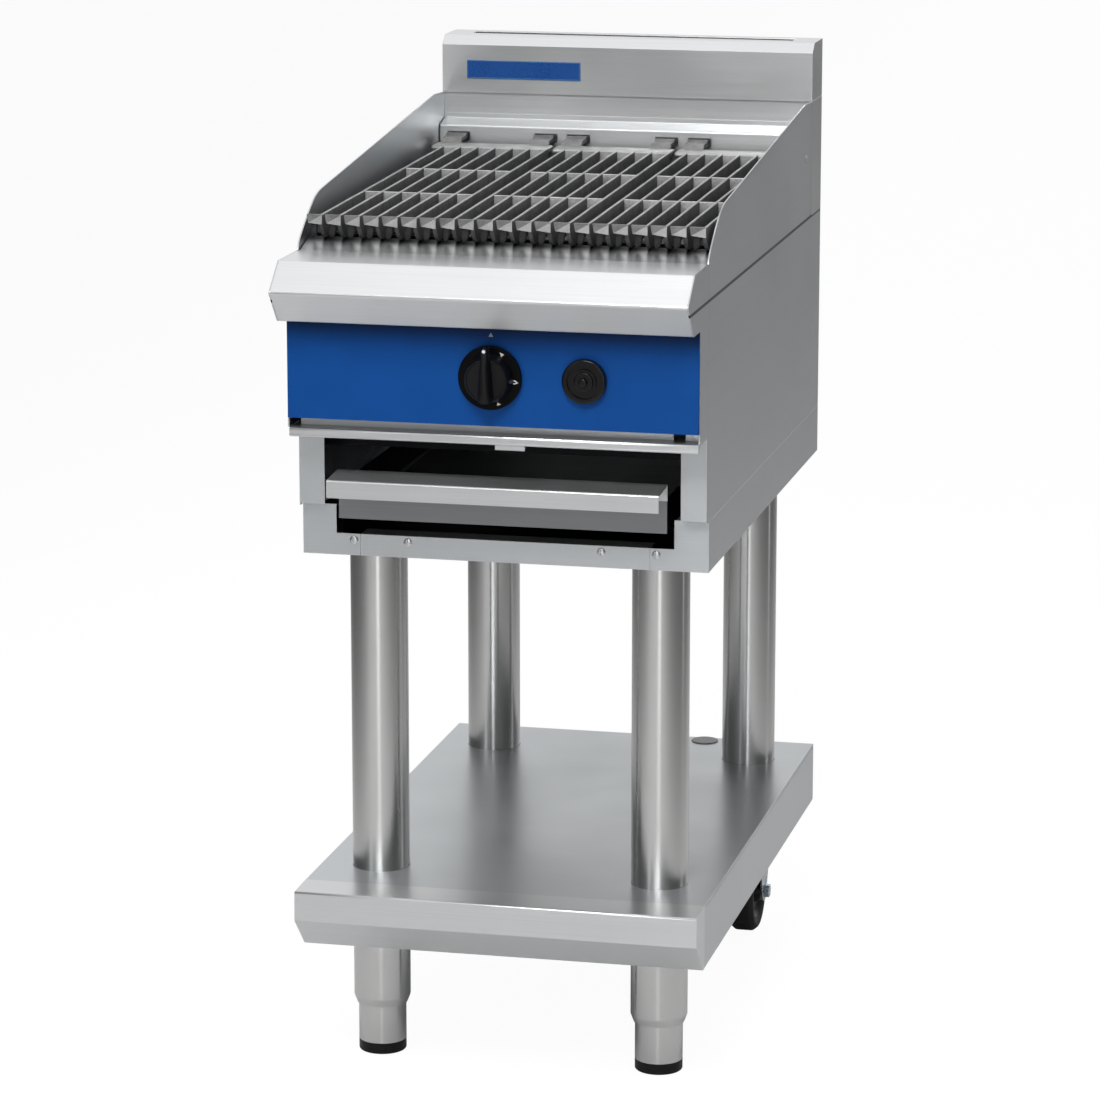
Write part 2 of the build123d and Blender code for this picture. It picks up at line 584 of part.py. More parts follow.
with BuildPart() as burner_manifold:
    rod_along_x(MANIFOLD_AT[0], MANIFOLD_AT[1], MANIFOLD_R, -112, 112)
    rod_along_x(MANIFOLD_AT[0], MANIFOLD_AT[1], MANIFOLD_R - 2.5, -108, 108, mode=Mode.SUBTRACT)
    for side in (-1, 1):
        bore_along_y(side * BURNER_X, BURNER_Z, 4, MANIFOLD_AT[0], MANIFOLD_AT[0] + 14)
save(burner_manifold, "burner_manifold")

with BuildPart() as injectors:
    for side in (-1, 1):
        rod_along_y(side * BURNER_X, BURNER_Z, 4, MANIFOLD_AT[0] + 5, MANIFOLD_AT[0] + 24)
        with BuildSketch(front_plane(MANIFOLD_AT[0] + 11.5)):
            with Locations((side * BURNER_X, BURNER_Z)):
                RegularPolygon(7, 6)
        extrude(amount=-8)
        bore_along_y(side * BURNER_X, BURNER_Z, 1.2, MANIFOLD_AT[0], MANIFOLD_AT[0] + 30)
save(injectors, "injectors")

PORT_COUNT = 18
with BuildPart() as burners:
    for side in (-1, 1):
        rod_along_y(side * BURNER_X, BURNER_Z, BURNER_R, BURNER_FRONT, BURNER_REAR)
        rod_along_y(side * BURNER_X, BURNER_Z, MOUTH_OUTER_R, 148, BURNER_FRONT + 1)
        bore_along_y(side * BURNER_X, BURNER_Z, BURNER_R - 3, BURNER_FRONT + 3, BURNER_REAR - 3)
        bore_along_y(side * BURNER_X, BURNER_Z, 10, 147, BURNER_FRONT + 4)
        with BuildSketch(Plane.XY.offset(BURNER_Z)):
            with Locations((side * BURNER_X, behind((BURNER_FRONT + BURNER_REAR) / 2))):
                with GridLocations(12, 26, 2, PORT_COUNT):
                    Circle(1.8)
        extrude(amount=BURNER_R + 1, mode=Mode.SUBTRACT)
save(burners, "burners")

with BuildPart() as pilot_burner:
    rod_along_y(0, 790, 5, 200, 232)
    bore_along_y(0, 790, 2.6, 199, 226)
    block(-14, 14, 214, 217, 770, 800)
    bore_along_y(0, 790, 2.6, 199, 226)
    rod_along_y(-10, 782, 2, 196, 236)
    rod_along_y(10, 782, 2, 196, 236)
save(pilot_burner, "pilot_burner")

RADIANT_HALF = 62.0
RADIANT_Z = 838.0
with BuildPart() as radiants:
    for x in (-132, 0, 132):
        with BuildSketch(front_plane(200)):
            with BuildLine():
                FilletPolyline((x - RADIANT_HALF, RADIANT_Z), (x, RADIANT_Z + 34),
                               (x + RADIANT_HALF, RADIANT_Z), radius=12)
            trace(line_width=5)
        extrude(amount=-480)
save(radiants, "radiants")

with BuildPart() as radiant_rails:
    for d in (206, 670):
        block(-194.8, 194.8, d, d + 12, RADIANT_Z - 8, RADIANT_Z - 3)
save(radiant_rails, "radiant_rails")

# ================================================================ firebox
with BuildPart() as firebox_side_walls:
    for side in (-1, 1):
        with BuildSketch(front_plane(FIREBOX_FRONT + SHEET)):
            with BuildLine():
                FilletPolyline((side * 221.6, 914), (side * 221.6, 900), (side * 196, 862),
                               (side * 196, 700), radius=4)
            trace(line_width=SHEET)
        extrude(amount=-(REAR_WALL - FIREBOX_FRONT - 2 * SHEET))
save(firebox_side_walls, "firebox_side_walls")


def grate_centre(index):
    return (index - 1) * GRATE_PITCH


HINGE_Z = GRATE_FRONT_TOP + HINGE_AT * sin(radians(GRATE_SLOPE)) + TONGUE_RISE
GRATE_LEFT = -(FIRST_TOOTH + 1.5 + (RIB_COUNT - 1) * RIB_PITCH) / 2
GRATE_RIGHT = -GRATE_LEFT
TONGUE_X = (GRATE_LEFT + TONGUE_INSET, GRATE_RIGHT - TONGUE_INSET)

with BuildPart() as firebox_rear_wall:
    folded([(FLUE_FRONT - 0.8, 992), (FLUE_FRONT - 0.8, 985.5), (REAR_WALL + SHEET / 2, 980),
            (REAR_WALL + SHEET / 2, 700)], 2.0, 222.4)
    for index in range(3):
        for tongue in TONGUE_X:
            x = grate_centre(index) + tongue
            block(x - TONGUE_WIDTH / 2 - 1, x + TONGUE_WIDTH / 2 + 3, REAR_WALL - 2, REAR_WALL + 4,
                  HINGE_Z - 5.5, HINGE_Z + 5.5, mode=Mode.SUBTRACT)
    # burnt gas leaves through a row of slots below the grates
    with BuildSketch(front_plane(REAR_WALL - 1)):
        with Locations((0, 905)):
            with GridLocations(72, 1, 5, 1):
                SlotOverall(56, 22)
    extrude(amount=-5, mode=Mode.SUBTRACT)
    bore_along_y(PIPE_SIDE_X, PIPE_Z, PIPE_R + 0.6, REAR_WALL - 2, REAR_WALL + 4)
save(firebox_rear_wall, "firebox_rear_wall")

# the fat plate rises behind the worktop, below the drip fingers, and turns down as the firebox's
# front wall, which carries the bar that the grates rest on
REST_TOP = GRATE_FRONT_TOP - RIB_DEPTH + 46 * tan(radians(GRATE_SLOPE)) - 0.35
with BuildPart() as grease_gutter:
    folded([(CONSOLE_REAR - 0.4, HOB_TOP - 0.75), (150, 929.5), (FIREBOX_FRONT + 0.75, 924),
            (FIREBOX_FRONT + 0.75, 700)], 3.0, 222.4)
    block(-220.5, 220.5, 172, 178, 906, REST_TOP)
    block(-220.5, 220.5, FIREBOX_FRONT, 178, 903, 906)
    for side in (-1, 1):
        bore_along_y(side * BURNER_X, BURNER_Z, MOUTH_OUTER_R + 0.5,
                     FIREBOX_FRONT - 3, FIREBOX_FRONT + 5)
    bore_along_y(PIPE_SIDE_X, PIPE_Z, PIPE_R + 0.6, FIREBOX_FRONT - 3, FIREBOX_FRONT + 5)
save(grease_gutter, "grease_gutter")


# ================================================================ cooking grates
for index, name in enumerate(("left", "centre", "right")):
    # each grate is one casting, drawn on the plane of its own cooking surface
    surface = Plane(
        origin=(grate_centre(index), behind(GRATE_FRONT), GRATE_FRONT_TOP), x_dir=(1, 0, 0),
        z_dir=(0, -sin(radians(GRATE_SLOPE)), cos(radians(GRATE_SLOPE))))
    ribs = [GRATE_RIGHT - RIB_WIDTH / 2 - RIB_PITCH * i for i in range(RIB_COUNT)]
    across = (GRATE_LEFT + GRATE_RIGHT) / 2
    with BuildPart() as grate:
        # ribs widen towards their roots
        with BuildSketch(surface):
            for x in ribs:
                with Locations((x, RIB_LENGTH / 2)):
                    Rectangle(RIB_WIDTH, RIB_LENGTH)
        extrude(amount=-RIB_DEPTH, taper=-1.6)
        # cross webs, a little below the rib tops
        with BuildSketch(surface.offset(-0.6)):
            for web in (RIB_LENGTH / 3, 2 * RIB_LENGTH / 3, RIB_LENGTH - 2):
                with Locations(((ribs[0] + ribs[-1]) / 2, web)):
                    Rectangle(ribs[0] - ribs[-1], 3.4)
        extrude(amount=-20)
        # front teeth, one to the left of each rib, with a fat slot between neighbours
        with BuildSketch(surface.offset(-0.3)):
            for x in ribs[:-1]:
                with Locations((x - 8, 2.2)):
                    Rectangle(16 + RIB_WIDTH / 2, 4)
            with Locations(((GRATE_LEFT + ribs[-1]) / 2, 2.2)):
                Rectangle(ribs[-1] - GRATE_LEFT, 4)
        extrude(amount=-12)
        # drip fingers under the teeth
        for x in ribs:
            root = surface.from_local_coords((x, 4, 0))
            with BuildSketch(Plane(origin=root, x_dir=(1, 0, 0), z_dir=(0, -1, 0))):
                with BuildLine():
                    Polyline((-1, -11), (-14.5, -11), (-14.5, -26))
                    Line((-14.5, -26), (-11.5, -26.5))
                    RadiusArc((-11.5, -26.5), (-1, -11), -24)
                make_face()
            extrude(amount=-5)
        # rear flange that rests on the firebox's rear wall by its two tongues
        with BuildSketch(surface.offset(-0.4)):
            with Locations((across, (RIB_LENGTH + FLANGE_REAR) / 2)):
                Rectangle(GRATE_RIGHT - GRATE_LEFT, FLANGE_REAR - RIB_LENGTH)
        extrude(amount=-7)
        with BuildSketch(surface.offset(-TONGUE_RISE + 4)):
            for x in TONGUE_X:
                with Locations((x, FLANGE_REAR - 4)):
                    Rectangle(TONGUE_WIDTH, 12)
        extrude(amount=-6)
        with BuildSketch(surface.offset(TONGUE_RISE + 2)):
            for x in TONGUE_X:
                with Locations((x, (FLANGE_REAR - 6 + HINGE_AT + 5) / 2)):
                    Rectangle(TONGUE_WIDTH, HINGE_AT + 5 - FLANGE_REAR + 6)
        extrude(amount=-4)
    save(grate, f"{name}_grate")

# ================================================================ drip drawer
DRAWER_X = 181.6
TRAY_X = 180.0
TRAY_WALL = 1.2
TRAY_BOTTOM = 628.0
TRAY_TOP = 666.0
TRAY_FRONT = 111.5
TRAY_REAR = 700.0
HANDLE_FRONT = 62.0
RUNNER_FRONT = BRACKET_REAR + 1
RUNNER_REAR = 786.0

with BuildPart() as drawer_tray:
    block(-TRAY_X, TRAY_X, TRAY_FRONT, TRAY_REAR, TRAY_BOTTOM, TRAY_TOP)
    fillet(drawer_tray.edges().filter_by(Axis.Z), 8)
    fillet(drawer_tray.faces().sort_by(Axis.Z)[0].edges(), 4)
    offset(amount=-TRAY_WALL, openings=drawer_tray.faces().sort_by(Axis.Z)[-1])
save(drawer_tray, "drawer_tray")

with BuildPart() as drawer_front:
    block(-DRAWER_X, DRAWER_X, 110, TRAY_FRONT, TRAY_BOTTOM, 681)
save(drawer_front, "drawer_front")

with BuildPart() as drawer_handle:
    folded([(109.25, 664), (109.25, 682), (HANDLE_FRONT + 0.75, 678.6), (HANDLE_FRONT + 0.75, 660)],
           2.2, 182)
save(drawer_handle, "drawer_handle")

with BuildPart() as drawer_runners:
    for side in (-1, 1):
        with BuildSketch(front_plane(RUNNER_FRONT)):
            with BuildLine():
                FilletPolyline((side * 170, 626.4), (side * 187.3, 626.4), (side * 187.3, 638.6),
                               (side * 216, 638.6), radius=1.6)
            trace(line_width=SHEET)
        extrude(amount=-(RUNNER_REAR - RUNNER_FRONT))
save(drawer_runners, "drawer_runners")

# ================================================================ guards, flue and splashback
GUARD_BOLT = (705.0, 953.5)
DIMPLE = 0.9
SCREW_LENGTH = 8.0


def guard_face():
    with BuildLine() as edge:
        Line((behind(FLUE_FRONT - 0.2), SIDE_TOP), (behind(114.6), SIDE_TOP))
        Line((behind(114.6), SIDE_TOP), (behind(114.6), HOB_TOP + 0.5))
        Line((behind(114.6), HOB_TOP + 0.5), (behind(SIDE_FRONT), HOB_TOP + 0.5))
        Spline(yz_points([(SIDE_FRONT, HOB_TOP + 0.5), (126, 938), (156, 957), (206, 974)]),
               tangents=[(0.55, 1), (1, 0.1)])
        Line((behind(206), 974), (behind(700), 1019))
        Line((behind(700), 1019), (behind(FLUE_FRONT - 0.2), 1016.8))
        Line((behind(FLUE_FRONT - 0.2), 1016.8), (behind(FLUE_FRONT - 0.2), SIDE_TOP))
    make_face(edge.line)


for name, side in SIDES:
    with BuildPart() as guard:
        with BuildSketch(section(side * SKIN)):
            guard_face()
            with Locations((behind(GUARD_BOLT[0]), GUARD_BOLT[1])):
                Circle(SCREW_R + 0.1, mode=Mode.SUBTRACT)
        extrude(amount=side * SHEET)
        rod_along_x(*GUARD_BOLT, SCREW_HEAD_R + 0.1, side * (HALF - DIMPLE), side * (HALF + 1),
                    mode=Mode.SUBTRACT)
    save(guard, f"{name}_splash_guard")


def screw(plane, x, y):
    """Domed screw standing on a plane, with its shank behind it."""
    with BuildSketch(plane) as seat:
        with Locations((x, y)):
            Circle(SCREW_HEAD_R)
    extrude(seat.sketch, amount=SCREW_HEAD, taper=38)
    with BuildSketch(plane) as seat:
        with Locations((x, y)):
            Circle(SCREW_R)
    extrude(seat.sketch, amount=-SCREW_LENGTH)


with BuildPart() as domed_screws:
    for x in SCREW_X:
        screw(front_plane(FRAME_FRONT), x, SCREW_Z)
    for side in (-1, 1):
        screw(Plane(origin=(side * (HALF - DIMPLE), 0, 0), x_dir=(0, side, 0), z_dir=(side, 0, 0)),
              side * behind(GUARD_BOLT[0]), GUARD_BOLT[1])
save(domed_screws, "domed_screws")

with BuildPart() as flue_duct:
    block(-HALF, HALF, FLUE_FRONT, DEPTH, SIDE_TOP, HOOD_BOTTOM)
    block(-SKIN, SKIN, FLUE_FRONT + SHEET, DEPTH - SHEET, SIDE_TOP - 1, HOOD_BOTTOM + 1, mode=Mode.SUBTRACT)
    block(-190, 190, FLUE_FRONT - 1, FLUE_FRONT + SHEET + 1, 888, 965, mode=Mode.SUBTRACT)
save(flue_duct, "flue_duct")

SLOT_X = 195.0
SLOT = (777.0, 796.0)
HOOD_FRONT = 745.0
with BuildPart() as splashback_hood:
    with BuildSketch(section(-HALF)):
        with BuildLine():
            Polyline(*yz_points([(HOOD_FRONT, HOOD_BOTTOM), (HOOD_FRONT, 1074), (758, HEIGHT),
                                 (DEPTH, HEIGHT), (DEPTH, HOOD_BOTTOM)]), close=True)
        make_face()
    extrude(amount=WIDTH)
    with BuildSketch(section(-SKIN)):
        with BuildLine():
            Polyline(*yz_points([(HOOD_FRONT + SHEET, HOOD_BOTTOM - 1), (HOOD_FRONT + SHEET, 1073.4),
                                 (758.6, HEIGHT - SHEET), (DEPTH - SHEET, HEIGHT - SHEET),
                                 (DEPTH - SHEET, HOOD_BOTTOM - 1)]), close=True)
        make_face()
    extrude(amount=2 * SKIN, mode=Mode.SUBTRACT)
    block(-SLOT_X, SLOT_X, SLOT[0], SLOT[1], HEIGHT - 5, HEIGHT + 1, mode=Mode.SUBTRACT)
    block(-SKIN, SKIN, HOOD_FRONT, FLUE_FRONT - 0.2, HOOD_BOTTOM, HOOD_BOTTOM + SHEET)
save(splashback_hood, "splashback_hood")

with BuildPart() as badge:
    with BuildSketch(front_plane(HOOD_FRONT)):
        with Locations((-124.95, 1045)):
            RectangleRounded(139.1, 22, 1.5)
    extrude(amount=1.2)
save(badge, "badge")
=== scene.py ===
"""Looks of the charbroiler: finishes, studio, cast grates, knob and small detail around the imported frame."""
import math

import bmesh
import bpy
from mathutils import Matrix, Vector
from mathutils import noise as wander


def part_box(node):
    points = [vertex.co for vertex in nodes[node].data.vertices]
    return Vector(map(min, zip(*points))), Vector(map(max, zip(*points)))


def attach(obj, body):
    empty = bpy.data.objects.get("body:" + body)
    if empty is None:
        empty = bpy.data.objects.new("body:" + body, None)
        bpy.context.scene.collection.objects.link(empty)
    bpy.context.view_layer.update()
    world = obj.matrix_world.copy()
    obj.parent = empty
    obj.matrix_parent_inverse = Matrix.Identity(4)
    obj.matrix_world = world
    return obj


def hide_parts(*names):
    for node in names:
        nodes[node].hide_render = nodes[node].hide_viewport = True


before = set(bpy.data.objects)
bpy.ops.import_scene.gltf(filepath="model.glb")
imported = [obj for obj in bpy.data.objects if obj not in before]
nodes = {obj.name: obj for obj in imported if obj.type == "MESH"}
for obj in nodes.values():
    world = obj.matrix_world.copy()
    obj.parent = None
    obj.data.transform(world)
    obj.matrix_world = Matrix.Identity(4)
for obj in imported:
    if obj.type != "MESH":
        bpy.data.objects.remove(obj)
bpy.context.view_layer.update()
scene = bpy.context.scene
MM = 0.001


# ---------------------------------------------------------------- node trees
def add(tree, kind, inputs=None, **attributes):
    """New shader node; an input given as a socket is linked, and any other value is set."""
    made = tree.nodes.new(kind)
    for name, value in attributes.items():
        setattr(made, name, value)
    for name, value in (inputs or {}).items():
        if isinstance(value, bpy.types.NodeSocket):
            tree.links.new(value, made.inputs[name])
        else:
            made.inputs[name].default_value = value
    return made


def new_material(name):
    """Material with a Principled shader, and its tree and shader."""
    material = bpy.data.materials.new(name)
    material.use_nodes = True
    tree = material.node_tree
    return material, tree, tree.nodes["Principled BSDF"]


def object_coords(tree):
    return add(tree, "ShaderNodeTexCoord").outputs["Object"]


def noise(tree, coords, scale, detail=3.0, stretch=(1, 1, 1)):
    """Noise value over coordinates that are stretched before they are scaled."""
    mapping = add(tree, "ShaderNodeMapping", {"Vector": coords, "Scale": [scale * s for s in stretch]})
    inputs = {"Vector": mapping.outputs[0], "Scale": 1.0, "Detail": detail}
    return add(tree, "ShaderNodeTexNoise", inputs).outputs[0]


def maths(tree, operation, first, second=0.5):
    """One arithmetic step; either value may be a socket."""
    return add(tree, "ShaderNodeMath", {0: first, 1: second}, operation=operation).outputs[0]


def component(tree, vector, axis):
    return add(tree, "ShaderNodeSeparateXYZ", {"Vector": vector}).outputs[axis]


def ramp(tree, value, start, full, low=0.0, high=1.0, smooth=True):
    """Goes from low to high while the value goes from start to full."""
    inputs = {"Value": value, "From Min": start, "From Max": full, "To Min": low, "To Max": high}
    return add(tree, "ShaderNodeMapRange", inputs,
               interpolation_type="SMOOTHSTEP" if smooth else "LINEAR").outputs[0]


def spread(tree, value, low, high):
    """A noise value, mostly 0.3 to 0.7, brought to the range low to high."""
    return ramp(tree, value, 0.3, 0.7, low, high, smooth=False)


def blend_colours(tree, factor, first, second):
    mix = add(tree, "ShaderNodeMix", data_type="RGBA")
    for socket, value in ((mix.inputs[0], factor), (mix.inputs[6], first), (mix.inputs[7], second)):
        if isinstance(value, bpy.types.NodeSocket):
            tree.links.new(value, socket)
        else:
            socket.default_value = (*value, 1.0)
    return mix.outputs[2]


def bump(tree, height, strength, distance):
    inputs = {"Height": height, "Strength": strength, "Distance": distance}
    return add(tree, "ShaderNodeBump", inputs).outputs[0]


def link(tree, socket, target):
    tree.links.new(socket, target)


# ---------------------------------------------------------------- finishes
GRAIN = {"x": (1.0, 0.03, 0.0), "y": (0.03, 1.0, 0.0)}
BRUSH_SCALE = 900.0
BRUSH_STRETCH = 0.006
BRUSH_BUMP = 0.03
BRUSH_HEIGHT = 0.0001
SEAM_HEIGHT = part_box("left_side_panel")[1].z
SEAM_HALF = 2.2 * MM
# Colour of the painted shadow along the joint under the splash guards.
SEAM_SHADOW_TONE = (0.01, 0.01, 0.01)
STEEL = (0.59, 0.612, 0.628)
BRIGHT_STEEL = (0.70, 0.712, 0.718)


def paint_seam_shadow(tree, coords, colour):
    """Painted shadow: darkens a colour along the level joint between a splash guard and the side panel under
    it, where the gap between them lies in shade.
    """
    distance = maths(tree, "ABSOLUTE", maths(tree, "SUBTRACT", component(tree, coords, "Z"), SEAM_HEIGHT))
    clear = ramp(tree, distance, SEAM_HALF * 0.6, SEAM_HALF, smooth=False)
    return blend_colours(tree, clear, SEAM_SHADOW_TONE, colour)


def brushed_steel(name, tone, roughness, grain, seam_shadow=False):
    """Brushed sheet: streaks along the grain, and reflections drawn out across it."""
    material, tree, shader = new_material(name)
    coords = object_coords(tree)
    along = [BRUSH_STRETCH if axis == grain else 1.0 for axis in "xyz"]
    lines = noise(tree, coords, BRUSH_SCALE, 2.0, along)
    bands = noise(tree, coords, 110.0, 2.0, along)
    marks = noise(tree, coords, 7.0, 4.0)
    light = [c * 1.04 for c in tone]
    dark = [c * 0.94 for c in tone]
    grained = blend_colours(tree, spread(tree, lines, 0.0, 1.0), dark, light)
    banded = blend_colours(tree, spread(tree, bands, 0.2, 0.8), grained, tone)
    # Painted shadow along the joint under the splash guards.
    if seam_shadow:
        banded = paint_seam_shadow(tree, coords, banded)
    link(tree, banded, shader.inputs["Base Color"])
    rough = maths(tree, "ADD", spread(tree, lines, roughness - 0.02, roughness + 0.02),
                  spread(tree, marks, -0.03, 0.03))
    link(tree, rough, shader.inputs["Roughness"])
    shader.inputs["Metallic"].default_value = 1.0
    shader.inputs["Anisotropic"].default_value = 0.7
    normal = add(tree, "ShaderNodeTexCoord").outputs["Normal"]
    across = add(tree, "ShaderNodeVectorMath", {0: normal, 1: GRAIN[grain]}, operation="CROSS_PRODUCT")
    turned = add(tree, "ShaderNodeVectorTransform", {"Vector": across.outputs[0]}, vector_type="VECTOR",
                 convert_from="OBJECT", convert_to="WORLD")
    unit = add(tree, "ShaderNodeVectorMath", {0: turned.outputs[0]}, operation="NORMALIZE")
    link(tree, unit.outputs[0], shader.inputs["Tangent"])
    link(tree, bump(tree, lines, BRUSH_BUMP, BRUSH_HEIGHT), shader.inputs["Normal"])
    return material


def tube_steel(name, tone, roughness):
    """Tube polished round its girth: fine rings and tall, narrow reflections."""
    material, tree, shader = new_material(name)
    coords = object_coords(tree)
    rings = noise(tree, coords, 2600.0, 2.0, (0.002, 0.002, 1.0))
    haze = noise(tree, coords, 9.0, 3.0)
    link(tree, blend_colours(tree, spread(tree, rings, 0.0, 1.0), [c * 0.96 for c in tone], tone),
         shader.inputs["Base Color"])
    rough = maths(tree, "ADD", spread(tree, rings, roughness - 0.01, roughness + 0.01),
                  spread(tree, haze, -0.01, 0.02))
    link(tree, rough, shader.inputs["Roughness"])
    shader.inputs["Metallic"].default_value = 1.0
    shader.inputs["Anisotropic"].default_value = 0.8
    upright = add(tree, "ShaderNodeVectorTransform", {"Vector": (0.0, 0.0, 1.0)}, vector_type="VECTOR",
                  convert_from="OBJECT", convert_to="WORLD")
    link(tree, upright.outputs[0], shader.inputs["Tangent"])
    link(tree, bump(tree, rings, 0.02, 0.00005), shader.inputs["Normal"])
    return material


def enamel_with_painted_shadow(name, tone, roughness, start, full):
    """Enamel panel with a painted shadow: its top edge, tucked under the nose, is darkened in its colour from
    start to full height.
    """
    material = coated(name, tone, roughness, 0.05, 700.0, 0.04, specular=0.12)
    tree = material.node_tree
    socket = tree.nodes["Principled BSDF"].inputs["Base Color"]
    # Painted shadow: the colour falls toward 0.22 of the tone near the top edge.
    shade = ramp(tree, component(tree, object_coords(tree), "Z"), start, full)
    link(tree, blend_colours(tree, shade, socket.links[0].from_socket, [c * 0.22 for c in tone]), socket)
    return material


def painted_shade_rearward(name, lit_tone, shade_tone, start, full, roughness):
    """Sheet whose colour darkens more and more toward the rear from start to full: painted shade, under the
    grates and inside the body.
    """
    material, tree, shader = new_material(name)
    coords = object_coords(tree)
    drift = spread(tree, noise(tree, coords, 30.0, 4.0), -3.0 * MM, 3.0 * MM)
    shade_share = ramp(tree, maths(tree, "ADD", component(tree, coords, "Y"), drift), start, full)
    link(tree, blend_colours(tree, shade_share, lit_tone, shade_tone), shader.inputs["Base Color"])
    lines = noise(tree, coords, BRUSH_SCALE, 2.0, (BRUSH_STRETCH, 1.0, 1.0))
    link(tree, spread(tree, lines, roughness - 0.03, roughness + 0.05), shader.inputs["Roughness"])
    shader.inputs["Metallic"].default_value = 0.9
    shader.inputs["Specular IOR Level"].default_value = 0.2
    link(tree, bump(tree, lines, BRUSH_BUMP, BRUSH_HEIGHT), shader.inputs["Normal"])
    return material


def coated(name, tone, roughness, mottle, grain_scale, bump_strength, metallic=0.0, coat=0.0, specular=0.5):
    """Enamel, plastic or rubber: slight mottle of tone and gloss, and a fine moulded skin."""
    material, tree, shader = new_material(name)
    coords = object_coords(tree)
    cloudy = noise(tree, coords, 22.0, 4.0)
    skin = noise(tree, coords, grain_scale, 3.0)
    deep = [c * (1 - mottle) for c in tone]
    lift = [c * (1 + mottle) + 0.002 * mottle for c in tone]
    link(tree, blend_colours(tree, spread(tree, cloudy, 0.0, 1.0), deep, lift), shader.inputs["Base Color"])
    rough = maths(tree, "ADD", spread(tree, skin, roughness - 0.04, roughness + 0.04),
                  spread(tree, cloudy, -0.03, 0.03))
    link(tree, rough, shader.inputs["Roughness"])
    shader.inputs["Metallic"].default_value = metallic
    shader.inputs["Coat Weight"].default_value = coat
    shader.inputs["Coat Roughness"].default_value = 0.08
    shader.inputs["Specular IOR Level"].default_value = specular
    link(tree, bump(tree, skin, bump_strength, 0.0003), shader.inputs["Normal"])
    return material


def cast_iron(name, dark, pale, roughness, metallic):
    """Sand-cast iron: pitted skin, grains that glint and a scatter of paler wear."""
    material, tree, shader = new_material(name)
    coords = object_coords(tree)
    grains = noise(tree, coords, 1300.0, 2.0)
    pits = noise(tree, coords, 420.0, 5.0)
    wear = noise(tree, coords, 60.0, 6.0)
    worn = maths(tree, "ADD", spread(tree, grains, 0.0, 0.6), spread(tree, wear, 0.0, 0.5))
    link(tree, blend_colours(tree, worn, dark, pale), shader.inputs["Base Color"])
    link(tree, spread(tree, pits, roughness + 0.12, roughness - 0.12), shader.inputs["Roughness"])
    shader.inputs["Metallic"].default_value = metallic
    link(tree, bump(tree, maths(tree, "ADD", grains, pits), 0.55, 0.0004), shader.inputs["Normal"])
    return material


def spangled_zinc(name, tone, roughness, size):
    """Zinc coat: faint crystals of slightly different tone and gloss."""
    material, tree, shader = new_material(name)
    coords = object_coords(tree)
    crystals = add(tree, "ShaderNodeTexVoronoi", {"Vector": coords, "Scale": size})
    grey = add(tree, "ShaderNodeSeparateColor", {"Color": crystals.outputs["Color"]}).outputs[0]
    film = noise(tree, coords, 300.0, 4.0)
    shaded = blend_colours(tree, grey, [c * 0.8 for c in tone], [c * 1.1 for c in tone])
    filmed = blend_colours(tree, spread(tree, film, 0.0, 0.4), shaded, tone)
    link(tree, filmed, shader.inputs["Base Color"])
    rough = ramp(tree, grey, 0.0, 1.0, roughness - 0.06, roughness + 0.08, smooth=False)
    link(tree, rough, shader.inputs["Roughness"])
    shader.inputs["Metallic"].default_value = 1.0
    link(tree, bump(tree, film, 0.1, 0.0003), shader.inputs["Normal"])
    return material


